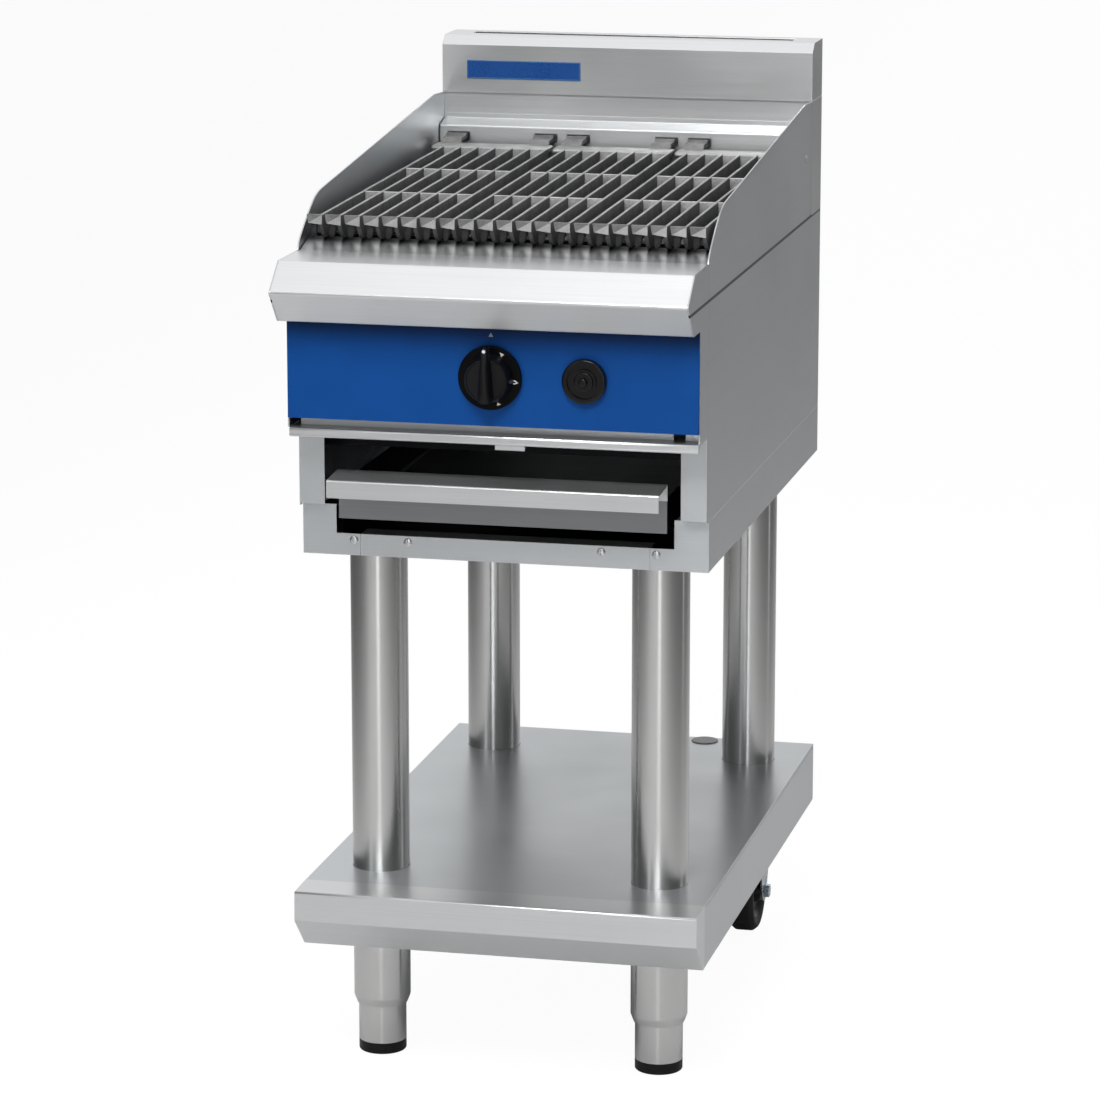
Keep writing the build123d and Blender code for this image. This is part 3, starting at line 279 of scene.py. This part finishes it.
FINISH = {
    "sheet_x": brushed_steel("brushed_sheet_x", STEEL, 0.36, "x"),
    "sheet_y": brushed_steel("brushed_sheet_y", STEEL, 0.38, "y", seam_shadow=True),
    "bright_x": brushed_steel("bright_sheet_x", BRIGHT_STEEL, 0.34, "x"),
    # Darker copy of the brushed steel for the drawer front: painted shade under the handle's lip.
    "shade_painted_x": brushed_steel("shade_painted_sheet_x", (0.27, 0.28, 0.29), 0.36, "x"),
    "tube": tube_steel("polished_tube", (0.62, 0.62, 0.615), 0.22),
    "blue": enamel_with_painted_shadow("blue_enamel", (0.004, 0.073, 0.315), 0.42, 0.829, 0.851),
    "rim_blue": coated("rim_enamel", (0.05, 0.17, 0.42), 0.30, 0.06, 700.0, 0.03, specular=0.5),
    "badge": coated("badge_enamel", (0.010, 0.085, 0.340), 0.30, 0.06, 700.0, 0.03, specular=0.4),
    "black": coated("satin_black", (0.005, 0.005, 0.006), 0.34, 0.20, 1500.0, 0.08, specular=0.22),
    "skirt": coated("skirt_black", (0.002, 0.002, 0.0025), 0.40, 0.20, 1500.0, 0.06, specular=0.08),
    "gloss_black": coated("gloss_black", (0.003, 0.003, 0.004), 0.18, 0.20, 900.0, 0.04, specular=0.35),
    "rubber": coated("wheel_rubber", (0.012, 0.012, 0.013), 0.55, 0.25, 1100.0, 0.25, specular=0.3),
    "grey": coated("grey_plastic", (0.30, 0.31, 0.32), 0.42, 0.06, 1300.0, 0.10),
    "white_ink": coated("white_ink", (0.85, 0.85, 0.85), 0.45, 0.03, 1500.0, 0.05),
    "iron": cast_iron("cast_iron_dark", (0.030, 0.030, 0.032), (0.115, 0.115, 0.118), 0.60, 0.4),
    # Lit and shaded copies of the grate iron: the paler ones paint light on faces to the front and above, and
    # the near-black one paints shade under the teeth and on the fingers.
    "iron_shaded_under": cast_iron("cast_iron_shaded_under", (0.006, 0.006, 0.006), (0.030, 0.030, 0.031), 0.7, 0.0),
    "iron_lit_front": cast_iron("cast_iron_lit_front", (0.10, 0.10, 0.102), (0.33, 0.33, 0.325), 0.52, 0.6),
    "iron_lit_top": cast_iron("cast_iron_lit_top", (0.34, 0.34, 0.34), (0.62, 0.62, 0.61), 0.42, 0.8),
    "burner_iron": cast_iron("burner_iron", (0.03, 0.028, 0.026), (0.09, 0.08, 0.075), 0.65, 0.3),
    "zinc": spangled_zinc("bright_zinc", (0.58, 0.66, 0.72), 0.24, 260.0),
    "galvanised": spangled_zinc("galvanised_sheet", (0.42, 0.43, 0.44), 0.42, 90.0),
    # Painted shade: these sheets darken toward the rear, under the grates and inside the body.
    "gutter": painted_shade_rearward("fat_gutter", (0.66, 0.665, 0.67), (0.012, 0.012, 0.013), -0.284, -0.262, 0.36),
    "tray": painted_shade_rearward("fat_tray", (0.055, 0.055, 0.058), (0.018, 0.018, 0.019), -0.31, -0.25, 0.50),
    "hidden": painted_shade_rearward("painted_shade_inside", (0.020, 0.020, 0.021), (0.006, 0.006, 0.006), -0.31, -0.25, 0.55),
    "brass": coated("machined_brass", (0.62, 0.42, 0.14), 0.30, 0.08, 1200.0, 0.08, metallic=1.0),
    "pipe": coated("black_pipe", (0.03, 0.03, 0.033), 0.5, 0.25, 500.0, 0.25, metallic=0.4),
}
NODE_FINISH = {
    "sheet_x": ("undershelf", "corner_brackets", "pilot_burner", "stand_front_rail"),
    "shade_painted_x": ("drawer_front",),
    "sheet_y": ("left_side_panel", "right_side_panel", "stand_side_rails", "left_splash_guard",
                "right_splash_guard", "console_end_caps"),
    "gutter": ("grease_gutter",),
    "tray": ("drawer_tray",),
    "hidden": ("base_plate", "drawer_runners", "firebox_side_walls"),
    "bright_x": ("shelf_nose", "bullnose", "drip_ledge", "firebox_rear_wall", "drawer_handle",
                 "flue_duct", "splashback_hood"),
    "tube": ("front_legs", "rear_legs", "left_foot_sleeve", "right_foot_sleeve", "domed_screws"),
    "blue": ("control_panel",),
    "badge": ("badge",),
    "black": ("left_foot_cap", "right_foot_cap", "left_wheel_hub", "right_wheel_hub", "knob", "igniter_body"),
    "skirt": ("knob_skirt",),
    "gloss_black": ("igniter_bezel", "igniter_button"),
    "rubber": ("left_wheel_tyre", "right_wheel_tyre"),
    "grey": ("hole_plug",),
    "iron": ("left_grate", "centre_grate", "right_grate"),
    "burner_iron": ("burners", "radiants", "radiant_rails"),
    "zinc": ("castor_forks", "castor_axles"),
    "galvanised": ("foot_inserts", "stand_rear_rail", "rear_panel"),
    "brass": ("valve_spindle", "valve_body", "valve_plug", "gas_inlet", "injectors"),
    "pipe": ("gas_supply_pipe", "burner_manifold"),
}
for finish, names in NODE_FINISH.items():
    for name in names:
        nodes[name].data.materials.clear()
        nodes[name].data.materials.append(FINISH[finish])


# ---------------------------------------------------------------- edges of the CAD sheets and castings
def round_edges(piece, width, segments, angle):
    """Rounds by a modifier the edges that turn by more than the angle, so that they catch the light."""
    bevel = piece.modifiers.new("edge", "BEVEL")
    bevel.width = width
    bevel.segments = segments
    bevel.limit_method = "ANGLE"
    bevel.angle_limit = math.radians(angle)
    bevel.harden_normals = True
    bevel.use_clamp_overlap = True


SHEET_EDGE = 0.45 * MM
WELD_REACH = 1e-5
for name in ("undershelf", "left_side_panel", "right_side_panel", "stand_side_rails", "stand_rear_rail",
             "drawer_front", "flue_duct", "splashback_hood", "console_end_caps", "drip_ledge",
             "control_panel", "castor_forks", "castor_axles", "shelf_nose"):
    nodes[name].modifiers.new("join", "WELD").merge_threshold = WELD_REACH
    round_edges(nodes[name], SHEET_EDGE, 2, 35.0)


# ---------------------------------------------------------------- mesh helpers
def loft(shape, rings, finish=0, sides=None):
    """Closed skin over rings of equally many points. sides gives some sides, by number, their own finish."""
    loops = [[shape.verts.new(point) for point in ring] for ring in rings]
    count = len(loops[0])
    shape.faces.new(loops[0][::-1]).material_index = finish
    shape.faces.new(loops[-1]).material_index = finish
    for first, second in zip(loops, loops[1:]):
        for i in range(count):
            j = (i + 1) % count
            face = shape.faces.new((first[i], first[j], second[j], second[i]))
            face.material_index = (sides or {}).get(i, finish)


def make_piece(name, shape, body, finishes, smooth=40.0):
    """Turns a bmesh into an object that rides on a body, smooth except over sharp edges."""
    bmesh.ops.recalc_face_normals(shape, faces=shape.faces)
    mesh = bpy.data.meshes.new(name)
    shape.to_mesh(mesh)
    shape.free()
    mesh.shade_smooth()
    mesh.set_sharp_from_angle(angle=math.radians(smooth))
    piece = bpy.data.objects.new(name, mesh)
    scene.collection.objects.link(piece)
    for finish in finishes:
        mesh.materials.append(FINISH[finish])
    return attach(piece, body)


def turned(shape, profile, steps=64, finish=0, axis_at=Vector((0.0, 0.0, 0.0))):
    """Solid of revolution about a line along Y; profile points are (radius, y), from the axis to the axis."""
    rings = []
    for step in range(steps):
        angle = 2 * math.pi * step / steps
        rings.append([shape.verts.new(axis_at + Vector((r * math.cos(angle), y, r * math.sin(angle))))
                      for r, y in profile])
    ends = [shape.verts.new(axis_at + Vector((0.0, profile[0][1], 0.0))),
            shape.verts.new(axis_at + Vector((0.0, profile[-1][1], 0.0)))]
    for first, second in zip(rings, rings[1:] + rings[:1]):
        for i in range(len(profile) - 1):
            shape.faces.new((first[i], first[i + 1], second[i + 1], second[i])).material_index = finish
        shape.faces.new((first[0], second[0], ends[0])).material_index = finish
        shape.faces.new((second[-1], first[-1], ends[1])).material_index = finish


# ---------------------------------------------------------------- cast grates
GRATE_TOP = 957.0 * MM
GRATE_SLOPE = math.radians(0.72)
GRATE_HALF = 71.55 * MM
RIB_PITCH = 21.0 * MM
RIB_COUNT = 7
RIB_LENGTH = 534.0 * MM
RIB_DEPTH = 27.0 * MM
RIB_STEPS = 20
RIB_INSET = 1.5 * MM
RIB_ROOT = 2.2 * MM
RIB_FRONT = 15.0 * MM
TOOTH_REACH = 16.4 * MM
TOOTH_OVERLAP = 1.4 * MM
FINGER_INSET = 1.0 * MM
FINGER_STEPS = 8
REAR_WEB_INSET = 2.0 * MM
FLANGE_REAR = 566.0 * MM
FLANGE_BOTTOM = -7.4 * MM
FLANGE_TOP = -0.4 * MM
FLANGE_RADIUS = 3.2 * MM
TONGUE_INSET = 18.0 * MM
TONGUE_HALF = 12.0 * MM
# Outlines in mm: (sideways, height) across a rib's crown and a web, (rearward, height) along a tongue.
RIB_CROWN = ((1.55, -1.1), (0.85, -0.3), (-0.85, -0.3), (-1.55, -1.1))
WEB_OUTLINE = ((-2.0, -20.0), (2.0, -20.0), (1.3, -1.7), (0.7, -1.1), (-0.7, -1.1), (-1.3, -1.7))
TONGUE_OUTLINE = ((558.0, -6.0), (572.0, -6.0), (573.0, 0.8), (597.0, 1.0), (597.0, 4.8), (594.5, 7.0),
                  (588.5, 7.0), (586.0, 4.8), (567.0, 4.8), (563.0, -0.6), (558.0, -0.9))
# Places of the four finishes in a casting's material list: the dark iron, paler copies painted lit on faces to
# the front and on faces that look up, and a near-black copy painted shaded on faces below.
DARK, LIT_FRONT, LIT_TOP, SHADED_UNDER = 0, 1, 2, 3


def wobble(x, s, seed):
    """Small sideways wander of a cast rib along its length."""
    return 0.22 * MM * wander.noise(Vector((x * 40.0, s * 22.0, seed)))


def add_rib(shape, at, x, seed):
    """One rib: narrow rounded top, wider root, a front that deepens in a curve, and edges that wander."""
    rings = []
    places = [0.6 * MM, 2.5 * MM, 6.0 * MM, 10.0 * MM, RIB_FRONT]
    places += [RIB_FRONT + (RIB_LENGTH - RIB_FRONT) * (step + 1) / RIB_STEPS for step in range(RIB_STEPS)]
    for s in places:
        shift = x + wobble(x, s, seed)
        lift = 0.25 * MM * wander.noise(Vector((x * 30.0, s * 15.0, seed + 7.0)))
        depth = RIB_DEPTH * min(1.0, 0.30 + 0.70 * math.sqrt(s / RIB_FRONT))
        outline = [(-RIB_ROOT, -depth), (RIB_ROOT, -depth)]
        outline += [(side * MM, height * MM) for side, height in RIB_CROWN]
        rings.append([at(shift + side, s, height + lift) for side, height in outline])
    # Painted light: the crown and its chamfers take the paler top copy of the iron.
    loft(shape, rings, DARK, {2: LIT_TOP, 3: LIT_TOP, 4: LIT_TOP})


def add_web(shape, at, x0, x1, s):
    """Cross web whose top edge takes the paler top copy and whose front face takes the paler front copy of the
    iron: painted light.
    """
    rings = [[at(x, s + side * MM, height * MM) for side, height in WEB_OUTLINE] for x in (x0, x1)]
    loft(shape, rings, DARK, {2: LIT_TOP, 3: LIT_TOP, 4: LIT_TOP, 5: LIT_FRONT})


def add_tooth(shape, at, left, right, seed):
    """Front tooth: a rough face whose lower right corner juts forward and down in a facet. The facet takes the
    paler top copy of the iron, and the front, top and right side take the paler front copy, painted light; the
    underside and left side take the near-black copy, painted shade.
    """
    top, bottom, back = -0.4 * MM, -9.6 * MM, 4.6 * MM
    face, slant = 0.2 * MM, 1.6 * MM
    roll = wander.noise(Vector((left * 60.0, seed, 0.0)))
    jut = (2.4 + 0.6 * roll) * MM
    front = [(left, face, top), (right, face, top),
             (right + 0.3 * MM, face - jut, bottom - (1.6 + roll) * MM), (left + slant, 0.4 * MM, bottom)]
    rear = [(left, back, top), (right, back, top), (right, back, bottom), (left + slant, back, bottom)]
    corners = [shape.verts.new(at(*point)) for point in front + rear]
    for indices, finish in (((0, 1, 3), LIT_FRONT), ((1, 2, 3), LIT_TOP), ((1, 5, 6, 2), LIT_FRONT), ((0, 4, 5, 1), LIT_FRONT),
                            ((4, 7, 6, 5), DARK), ((3, 2, 6, 7), SHADED_UNDER), ((0, 3, 7, 4), SHADED_UNDER)):
        shape.faces.new([corners[i] for i in indices]).material_index = finish


def add_finger(shape, at, left, right):
    """Drip finger: hangs under the tooth, leans back, swings left and narrows to a rounded tip."""
    rings = []
    for step in range(FINGER_STEPS + 1):
        t = step / FINGER_STEPS
        drop = (-9.0 - 17.0 * t) * MM
        lean = (2.4 + 5.2 * t * t) * MM
        tip = max(0.0, t - 0.75) * 4.0
        inner = left + (3.4 - 2.4 * t + 2.0 * tip ** 2) * MM
        edge = right - (4.4 + 4.0 * t ** 1.6 + 2.2 * tip ** 2) * MM
        rings.append([at(inner, lean + 0.8 * MM, drop), at(inner + 1.2 * MM, lean, drop),
                      at(edge - 1.2 * MM, lean, drop), at(edge, lean + 0.8 * MM, drop),
                      at(edge, lean + 4.5 * MM, drop), at(inner, lean + 4.5 * MM, drop)])
    # Painted shade: the whole finger takes the near-black copy of the iron.
    loft(shape, rings, SHADED_UNDER)


def rounded_bar(at, x0, x1, s0, s1, h0, h1, radius):
    """Rings of a bar along X whose long edges and ends are rounded."""

    def ring(x, inset):
        points = []
        for corner, (cs, ch) in enumerate(((s1, h1), (s0, h1), (s0, h0), (s1, h0))):
            sign_s = 1 if corner in (0, 3) else -1
            sign_h = 1 if corner in (0, 1) else -1
            for step in range(4):
                turn = math.radians(90 * corner + 30 * step)
                points.append(at(x, cs - sign_s * (radius + inset) + radius * math.cos(turn),
                                 ch - sign_h * (radius + inset) + radius * math.sin(turn)))
        return points

    ends = ((0.0, 0.9), (0.12, 0.45), (0.4, 0.12), (1.0, 0.0))
    left = [ring(x0 + radius * reach, radius * inset) for reach, inset in ends]
    right = [ring(x1 - radius * reach, radius * inset) for reach, inset in reversed(ends)]
    return left + right


def add_tongue(shape, at, x):
    """Hanger tongue that steps up over the flange and hooks into the rear wall."""
    rings = [[at(x + side, s * MM, h * MM) for s, h in TONGUE_OUTLINE] for side in (-TONGUE_HALF, TONGUE_HALF)]
    # Painted light: the tongue takes the paler front copy of the iron.
    loft(shape, rings, LIT_FRONT)


def build_grate(name, seed):
    """One casting, drawn over its cooking surface, in place of the plain CAD casting."""
    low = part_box(name)[0]
    origin = Vector((low.x + GRATE_HALF, low.y, GRATE_TOP))
    tilt = Matrix.Rotation(GRATE_SLOPE, 3, "X")

    def at(x, s, h):
        return origin + tilt @ Vector((x, s, h))

    shape = bmesh.new()
    ribs = [GRATE_HALF - RIB_INSET - RIB_PITCH * i for i in range(RIB_COUNT)]
    for x in ribs:
        add_rib(shape, at, x, seed)
        left = max(x - TOOTH_REACH, -GRATE_HALF)
        add_tooth(shape, at, left, x + TOOTH_OVERLAP, seed)
        add_finger(shape, at, left + FINGER_INSET, x)
    for web in (RIB_LENGTH / 3, 2 * RIB_LENGTH / 3, RIB_LENGTH - REAR_WEB_INSET):
        add_web(shape, at, ribs[-1], ribs[0], web)
    # Painted light: the rear flange takes the paler top copy of the iron.
    loft(shape, rounded_bar(at, -GRATE_HALF, GRATE_HALF, RIB_LENGTH, FLANGE_REAR, FLANGE_BOTTOM, FLANGE_TOP,
                            FLANGE_RADIUS), LIT_TOP)
    for side in (-1, 1):
        add_tongue(shape, at, side * (GRATE_HALF - TONGUE_INSET))
    piece = make_piece(f"{name}_casting", shape, name, ("iron", "iron_lit_front", "iron_lit_top", "iron_shaded_under"), 50.0)
    round_edges(piece, 0.35 * MM, 1, 45.0)
    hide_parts(name)


for number, name in enumerate(("left_grate", "centre_grate", "right_grate")):
    build_grate(name, 3.0 + 5.0 * number)


# ---------------------------------------------------------------- knob, dial marks and index
CAP_DEPTH = 18.0 * MM
# Height of the grip's lower and upper end from the knob's axis, in mm, and the heights of its rings.
GRIP_LOW, GRIP_HIGH = -23.5, 36.5
GRIP_RINGS = (GRIP_LOW, -22.0, -18.0, -10.0, 0.0, 10.0, 20.0, 28.0, 33.0, 35.6, GRIP_HIGH)


def build_knob():
    """Cap with a rim, and a grip that narrows to the pointer. Returns the knob's axis and its foremost y."""
    low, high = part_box("knob")
    axis = Vector((0.0, 0.0, (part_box("knob_skirt")[0].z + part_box("knob_skirt")[1].z) / 2))
    back = high.y
    front = low.y
    face = back - CAP_DEPTH
    shape = bmesh.new()
    turned(shape, [(26.5 * MM, back), (26.0 * MM, back - 3.0 * MM), (24.2 * MM, back - 9.0 * MM),
                   (23.8 * MM, face + 2.2 * MM), (23.4 * MM, face + 0.9 * MM), (22.6 * MM, face),
                   (21.4 * MM, face + 0.1 * MM), (20.8 * MM, face + 1.0 * MM), (8.0 * MM, face + 1.4 * MM)],
           72, 0, axis)
    rings = []
    for height in GRIP_RINGS:
        t = (height - GRIP_LOW) / (GRIP_HIGH - GRIP_LOW)
        half = (8.0 - 4.6 * t) * MM
        nose = front + (0.8 + 5.0 * max(0.0, t - 0.55) ** 1.5 * 4.0) * MM
        end = max(0.0, 1.0 - min(height - GRIP_LOW, GRIP_HIGH - height) / 3.0)
        nose += 4.0 * end ** 2 * MM
        half *= 1.0 - 0.45 * end ** 2
        root = face + 3.0 * MM
        rings.append([axis + Vector((x, y, height * MM)) for x, y in (
            (-half * 1.25, root), (-half * 0.95, nose + 7.0 * MM), (-half * 0.86, nose + 2.4 * MM),
            (-half * 0.62, nose + 0.7 * MM), (0.0, nose), (half * 0.62, nose + 0.7 * MM),
            (half * 0.86, nose + 2.4 * MM), (half * 0.95, nose + 7.0 * MM), (half * 1.25, root))])
    loft(shape, rings, 0)
    piece = make_piece("knob_grip", shape, "gas_knob", ("black",), 42.0)
    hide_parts("knob")
    return axis, front


MARK_SUNK = 0.05 * MM
MARK_DEPTH = 0.2 * MM


def flat_mark(shape, outline, place, angle, scale, face, inner=None):
    """Thin raised mark on a face that looks to the front; outline is (x, z) before it is turned.

    With inner, the mark is a ring, and inner is its hole's share of its size.
    """
    y = face + MARK_SUNK

    def spot(point, at_y):
        x, z = point[0] * scale * MM, point[1] * scale * MM
        return Vector((place[0] + x * math.cos(angle) + z * math.sin(angle), at_y,
                       place[1] - x * math.sin(angle) + z * math.cos(angle)))

    if inner is None:
        loft(shape, [[spot(p, y) for p in outline], [spot(p, y - MARK_DEPTH) for p in outline]])
        return
    hole = [(x * inner, z * inner) for x, z in outline]
    count = len(outline)
    for i in range(count):
        j = (i + 1) % count
        ring = (outline[i], outline[j], hole[j], hole[i])
        loft(shape, [[spot(p, y) for p in ring], [spot(p, y - MARK_DEPTH) for p in ring]])


FLAME = ((0.0, 3.4), (1.0, 1.6), (1.9, 0.0), (1.7, -1.4), (0.8, -2.4), (-0.8, -2.4), (-1.7, -1.4), (-1.9, 0.0),
         (-1.0, 1.6))
WEDGE = ((-1.9, 1.3), (1.9, 1.3), (0.6, -1.5))
TRIANGLE = ((-2.6, -2.2), (2.6, -2.2), (0.0, 2.4))
# Settings on the skirt: degrees clockwise from the top, radius in mm, outline, its scale, its hole's share.
SETTINGS = ((27.0, 28.5, WEDGE, 1.4, None), (97.0, 27.6, FLAME, 1.2, 0.5), (160.0, 28.8, WEDGE, 1.2, None))
DOT_HEIGHT = 32.6 * MM
DOT_BACK = 4.6 * MM
INDEX_HEIGHT = 45.4 * MM


def build_marks(axis, grip_front):
    """Printed marks: settings on the skirt, a dot on the pointer and the index on the panel."""
    skirt_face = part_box("knob_skirt")[0].y
    shape = bmesh.new()
    for degrees, radius, outline, scale, inner in SETTINGS:
        turn = math.radians(degrees)
        place = (axis.x + radius * MM * math.sin(turn), axis.z + radius * MM * math.cos(turn))
        flat_mark(shape, outline, place, turn, scale, skirt_face, inner)
    make_piece("dial_marks", shape, "gas_knob", ("white_ink",))
    shape = bmesh.new()
    dot_place = axis + Vector((0.0, grip_front + DOT_BACK, DOT_HEIGHT))
    turned(shape, [(1.9 * MM, 0.6 * MM), (1.9 * MM, -0.5 * MM), (1.3 * MM, -1.0 * MM)], 24, 0, dot_place)
    make_piece("pointer_dot", shape, "gas_knob", ("white_ink",))
    shape = bmesh.new()
    panel_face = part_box("control_panel")[0].y
    flat_mark(shape, TRIANGLE, (axis.x, axis.z + INDEX_HEIGHT), 0.0, 1.0, panel_face)
    make_piece("index_mark", shape, "chassis", ("grey",))


build_marks(*build_knob())


# ---------------------------------------------------------------- badge
# Section of the border: (inset from the badge's edge, y from the badge's face), in mm.
BORDER = ((0.0, 0.3), (0.5, -0.5), (1.3, -0.5), (1.8, 0.3))


def build_badge_rim():
    """Raised border with mitred corners around the plain badge."""
    low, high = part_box("badge")
    shape = bmesh.new()
    rings = []
    for inset, forward in BORDER:
        x0, z0, x1, z1 = low.x + inset * MM, low.z + inset * MM, high.x - inset * MM, high.z - inset * MM
        y = low.y + forward * MM
        rings.append([shape.verts.new((x, y, z)) for x, z in ((x0, z0), (x1, z0), (x1, z1), (x0, z1))])
    for first, second in zip(rings, rings[1:] + rings[:1]):
        for i in range(4):
            j = (i + 1) % 4
            shape.faces.new((first[i], first[j], second[j], second[i]))
    make_piece("badge_rim", shape, "chassis", ("rim_blue",))


build_badge_rim()


# ---------------------------------------------------------------- domed screws
SCREW_OUTER = 167.8 * MM
SCREW_INNER = 107.3 * MM
SCREW_Z = 602.0 * MM
SCREW_SIZE = (4.6 * MM, 2.3 * MM)
GUARD_SCREW_Y = 299.0 * MM
GUARD_SCREW_Z = 953.5 * MM
GUARD_SCREW_REACH = 2.3 * MM
GUARD_SCREW_SIZE = (5.2 * MM, 2.2 * MM)


def add_screw_head(shape, place, out, radius, height):
    """Domed head with a pressed cross recess, standing on a face whose outward direction is out."""
    turn = out.to_track_quat("Z", "Y").to_matrix()
    steps, rows = 48, 12
    rings = []
    for row in range(rows + 1):
        r = radius * (1 - row / (rows + 0.5))
        rise = height * math.sqrt(max(0.0, 1.0 - 0.92 * (r / radius) ** 2))
        ring = []
        for step in range(steps):
            angle = 2 * math.pi * step / steps
            u, v = r * math.cos(angle), r * math.sin(angle)
            arm = min(abs(u), abs(v)) < 0.16 * radius and r < 0.62 * radius
            depth = 0.5 * height if arm else 0.0
            ring.append(shape.verts.new(place + turn @ Vector((u, v, rise - depth))))
        rings.append(ring)
    base = [shape.verts.new(place + turn @ Vector((radius * math.cos(2 * math.pi * i / steps),
                                                   radius * math.sin(2 * math.pi * i / steps), -0.3 * MM)))
            for i in range(steps)]
    for first, second in zip([base] + rings, rings):
        for i in range(steps):
            j = (i + 1) % steps
            shape.faces.new((first[i], first[j], second[j], second[i]))
    shape.faces.new(rings[-1])
    shape.faces.new(base[::-1])


def build_screws():
    """Four screws along the front rail and one in each splash guard; sizes are (radius, height)."""
    low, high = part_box("domed_screws")
    rail_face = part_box("stand_front_rail")[0].y
    shape = bmesh.new()
    for x in (-SCREW_OUTER, -SCREW_INNER, SCREW_INNER, SCREW_OUTER):
        add_screw_head(shape, Vector((x, rail_face, SCREW_Z)), Vector((0, -1, 0)), *SCREW_SIZE)
    for edge, side in ((low.x, -1), (high.x, 1)):
        base = Vector((edge - side * GUARD_SCREW_REACH, GUARD_SCREW_Y, GUARD_SCREW_Z))
        add_screw_head(shape, base, Vector((side, 0, 0)), *GUARD_SCREW_SIZE)
    piece = make_piece("screw_heads", shape, "chassis", ("bright_x",), 60.0)
    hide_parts("domed_screws")


build_screws()


# ---------------------------------------------------------------- studio
CAMERA_PLACE = (1.118, -4.922, 1.660)
CAMERA_AZIMUTH = 12.96
CAMERA_PITCH = 12.54
CAMERA_LENS = 148.1
OBJECT_MIDDLE = (0.0, 0.0, 0.6)
FLOOR_GLOW = 1.06
FLOOR_GLOW_SHARE = 0.9


def lamp(name, place, target, size, power):
    """Soft rectangular light at a place, aimed at a target."""
    data = bpy.data.lights.new(name, "AREA")
    data.shape = "RECTANGLE"
    data.size, data.size_y = size
    data.energy = power
    made = bpy.data.objects.new(name, data)
    made.location = place
    made.rotation_euler = (Vector(target) - Vector(place)).to_track_quat("-Z", "Y").to_euler()
    scene.collection.objects.link(made)


def build_floor():
    """Pale sheet that the object stands on; it looks evenly lit to the camera, and keeps a faint shadow."""
    floor_mesh = bpy.data.meshes.new("floor")
    shape = bmesh.new()
    bmesh.ops.create_grid(shape, x_segments=8, y_segments=8, size=40.0)
    shape.to_mesh(floor_mesh)
    shape.free()
    floor = bpy.data.objects.new("floor", floor_mesh)
    scene.collection.objects.link(floor)
    floor.location.z = -0.0005
    material, tree, shader = new_material("pale_floor")
    place = object_coords(tree)
    # Painted shade: the floor's colour darkens off to the sides and farther behind, for a darker room in what
    # the metal reflects.
    beside = ramp(tree, maths(tree, "ABSOLUTE", component(tree, place, "X")), 0.6, 2.4, 1.0, 0.22)
    behind = ramp(tree, component(tree, place, "Y"), 1.0, 4.0, 0.85, 0.75)
    link(tree, maths(tree, "MULTIPLY", beside, behind), shader.inputs["Base Color"])
    shader.inputs["Roughness"].default_value = 0.9
    shader.inputs["Specular IOR Level"].default_value = 0.0
    glow = add(tree, "ShaderNodeEmission", {"Color": (1.0, 1.0, 1.0, 1.0), "Strength": FLOOR_GLOW})
    path = add(tree, "ShaderNodeLightPath")
    share = maths(tree, "MULTIPLY", path.outputs["Is Camera Ray"], FLOOR_GLOW_SHARE)
    mix = add(tree, "ShaderNodeMixShader", {0: share, 1: shader.outputs[0], 2: glow.outputs[0]})
    link(tree, mix.outputs[0], tree.nodes["Material Output"].inputs["Surface"])
    floor.data.materials.append(material)


def build_world():
    """Even pale backdrop for the camera; a softer, darker room for what the metal reflects."""
    world = bpy.data.worlds.new("studio")
    scene.world = world
    world.use_nodes = True
    tree = world.node_tree
    tree.nodes.clear()
    direction = add(tree, "ShaderNodeTexCoord").outputs["Generated"]
    beside = ramp(tree, maths(tree, "ABSOLUTE", component(tree, direction, "X")), 0.35, 0.9, 1.0, 0.35)
    behind = ramp(tree, component(tree, direction, "Y"), 0.2, 0.9, 0.32, 0.95, smooth=False)
    room = maths(tree, "MULTIPLY", beside, behind)
    path = add(tree, "ShaderNodeLightPath")
    seen = add(tree, "ShaderNodeMix", {0: path.outputs["Is Camera Ray"], 2: room, 3: 1.0})
    light = add(tree, "ShaderNodeBackground", {"Color": (1.0, 1.0, 1.0, 1.0), "Strength": seen.outputs[0]})
    output = add(tree, "ShaderNodeOutputWorld")
    link(tree, light.outputs[0], output.inputs["Surface"])


def build_camera():
    """Camera at the viewing angle: a long lens, from the front right and a little above."""
    data = bpy.data.cameras.new("camera")
    data.sensor_width = 36.0
    data.lens = CAMERA_LENS
    data.clip_end = 100.0
    camera = bpy.data.objects.new("camera", data)
    camera.location = CAMERA_PLACE
    camera.rotation_euler = (math.radians(90.0 - CAMERA_PITCH), 0.0, math.radians(CAMERA_AZIMUTH))
    scene.collection.objects.link(camera)
    scene.camera = camera


build_floor()
build_world()
build_camera()
lamp("overhead", (-0.2, -0.5, 3.0), (0.0, 0.0, 0.5), (3.4, 3.0), 25.0)
lamp("front_left", (-1.9, -3.4, 1.9), OBJECT_MIDDLE, (0.9, 2.2), 7.0)
lamp("front_high", (0.1, -2.7, 3.2), (0.0, -0.4, 0.7), (1.3, 1.1), 56.0)
lamp("beside_camera", (0.75, -5.8, 1.0), OBJECT_MIDDLE, (1.0, 2.2), 24.0)
lamp("right_strip", (3.2, 0.9, 1.0), OBJECT_MIDDLE, (0.3, 2.0), 3.0)
scene.view_settings.view_transform = "Standard"
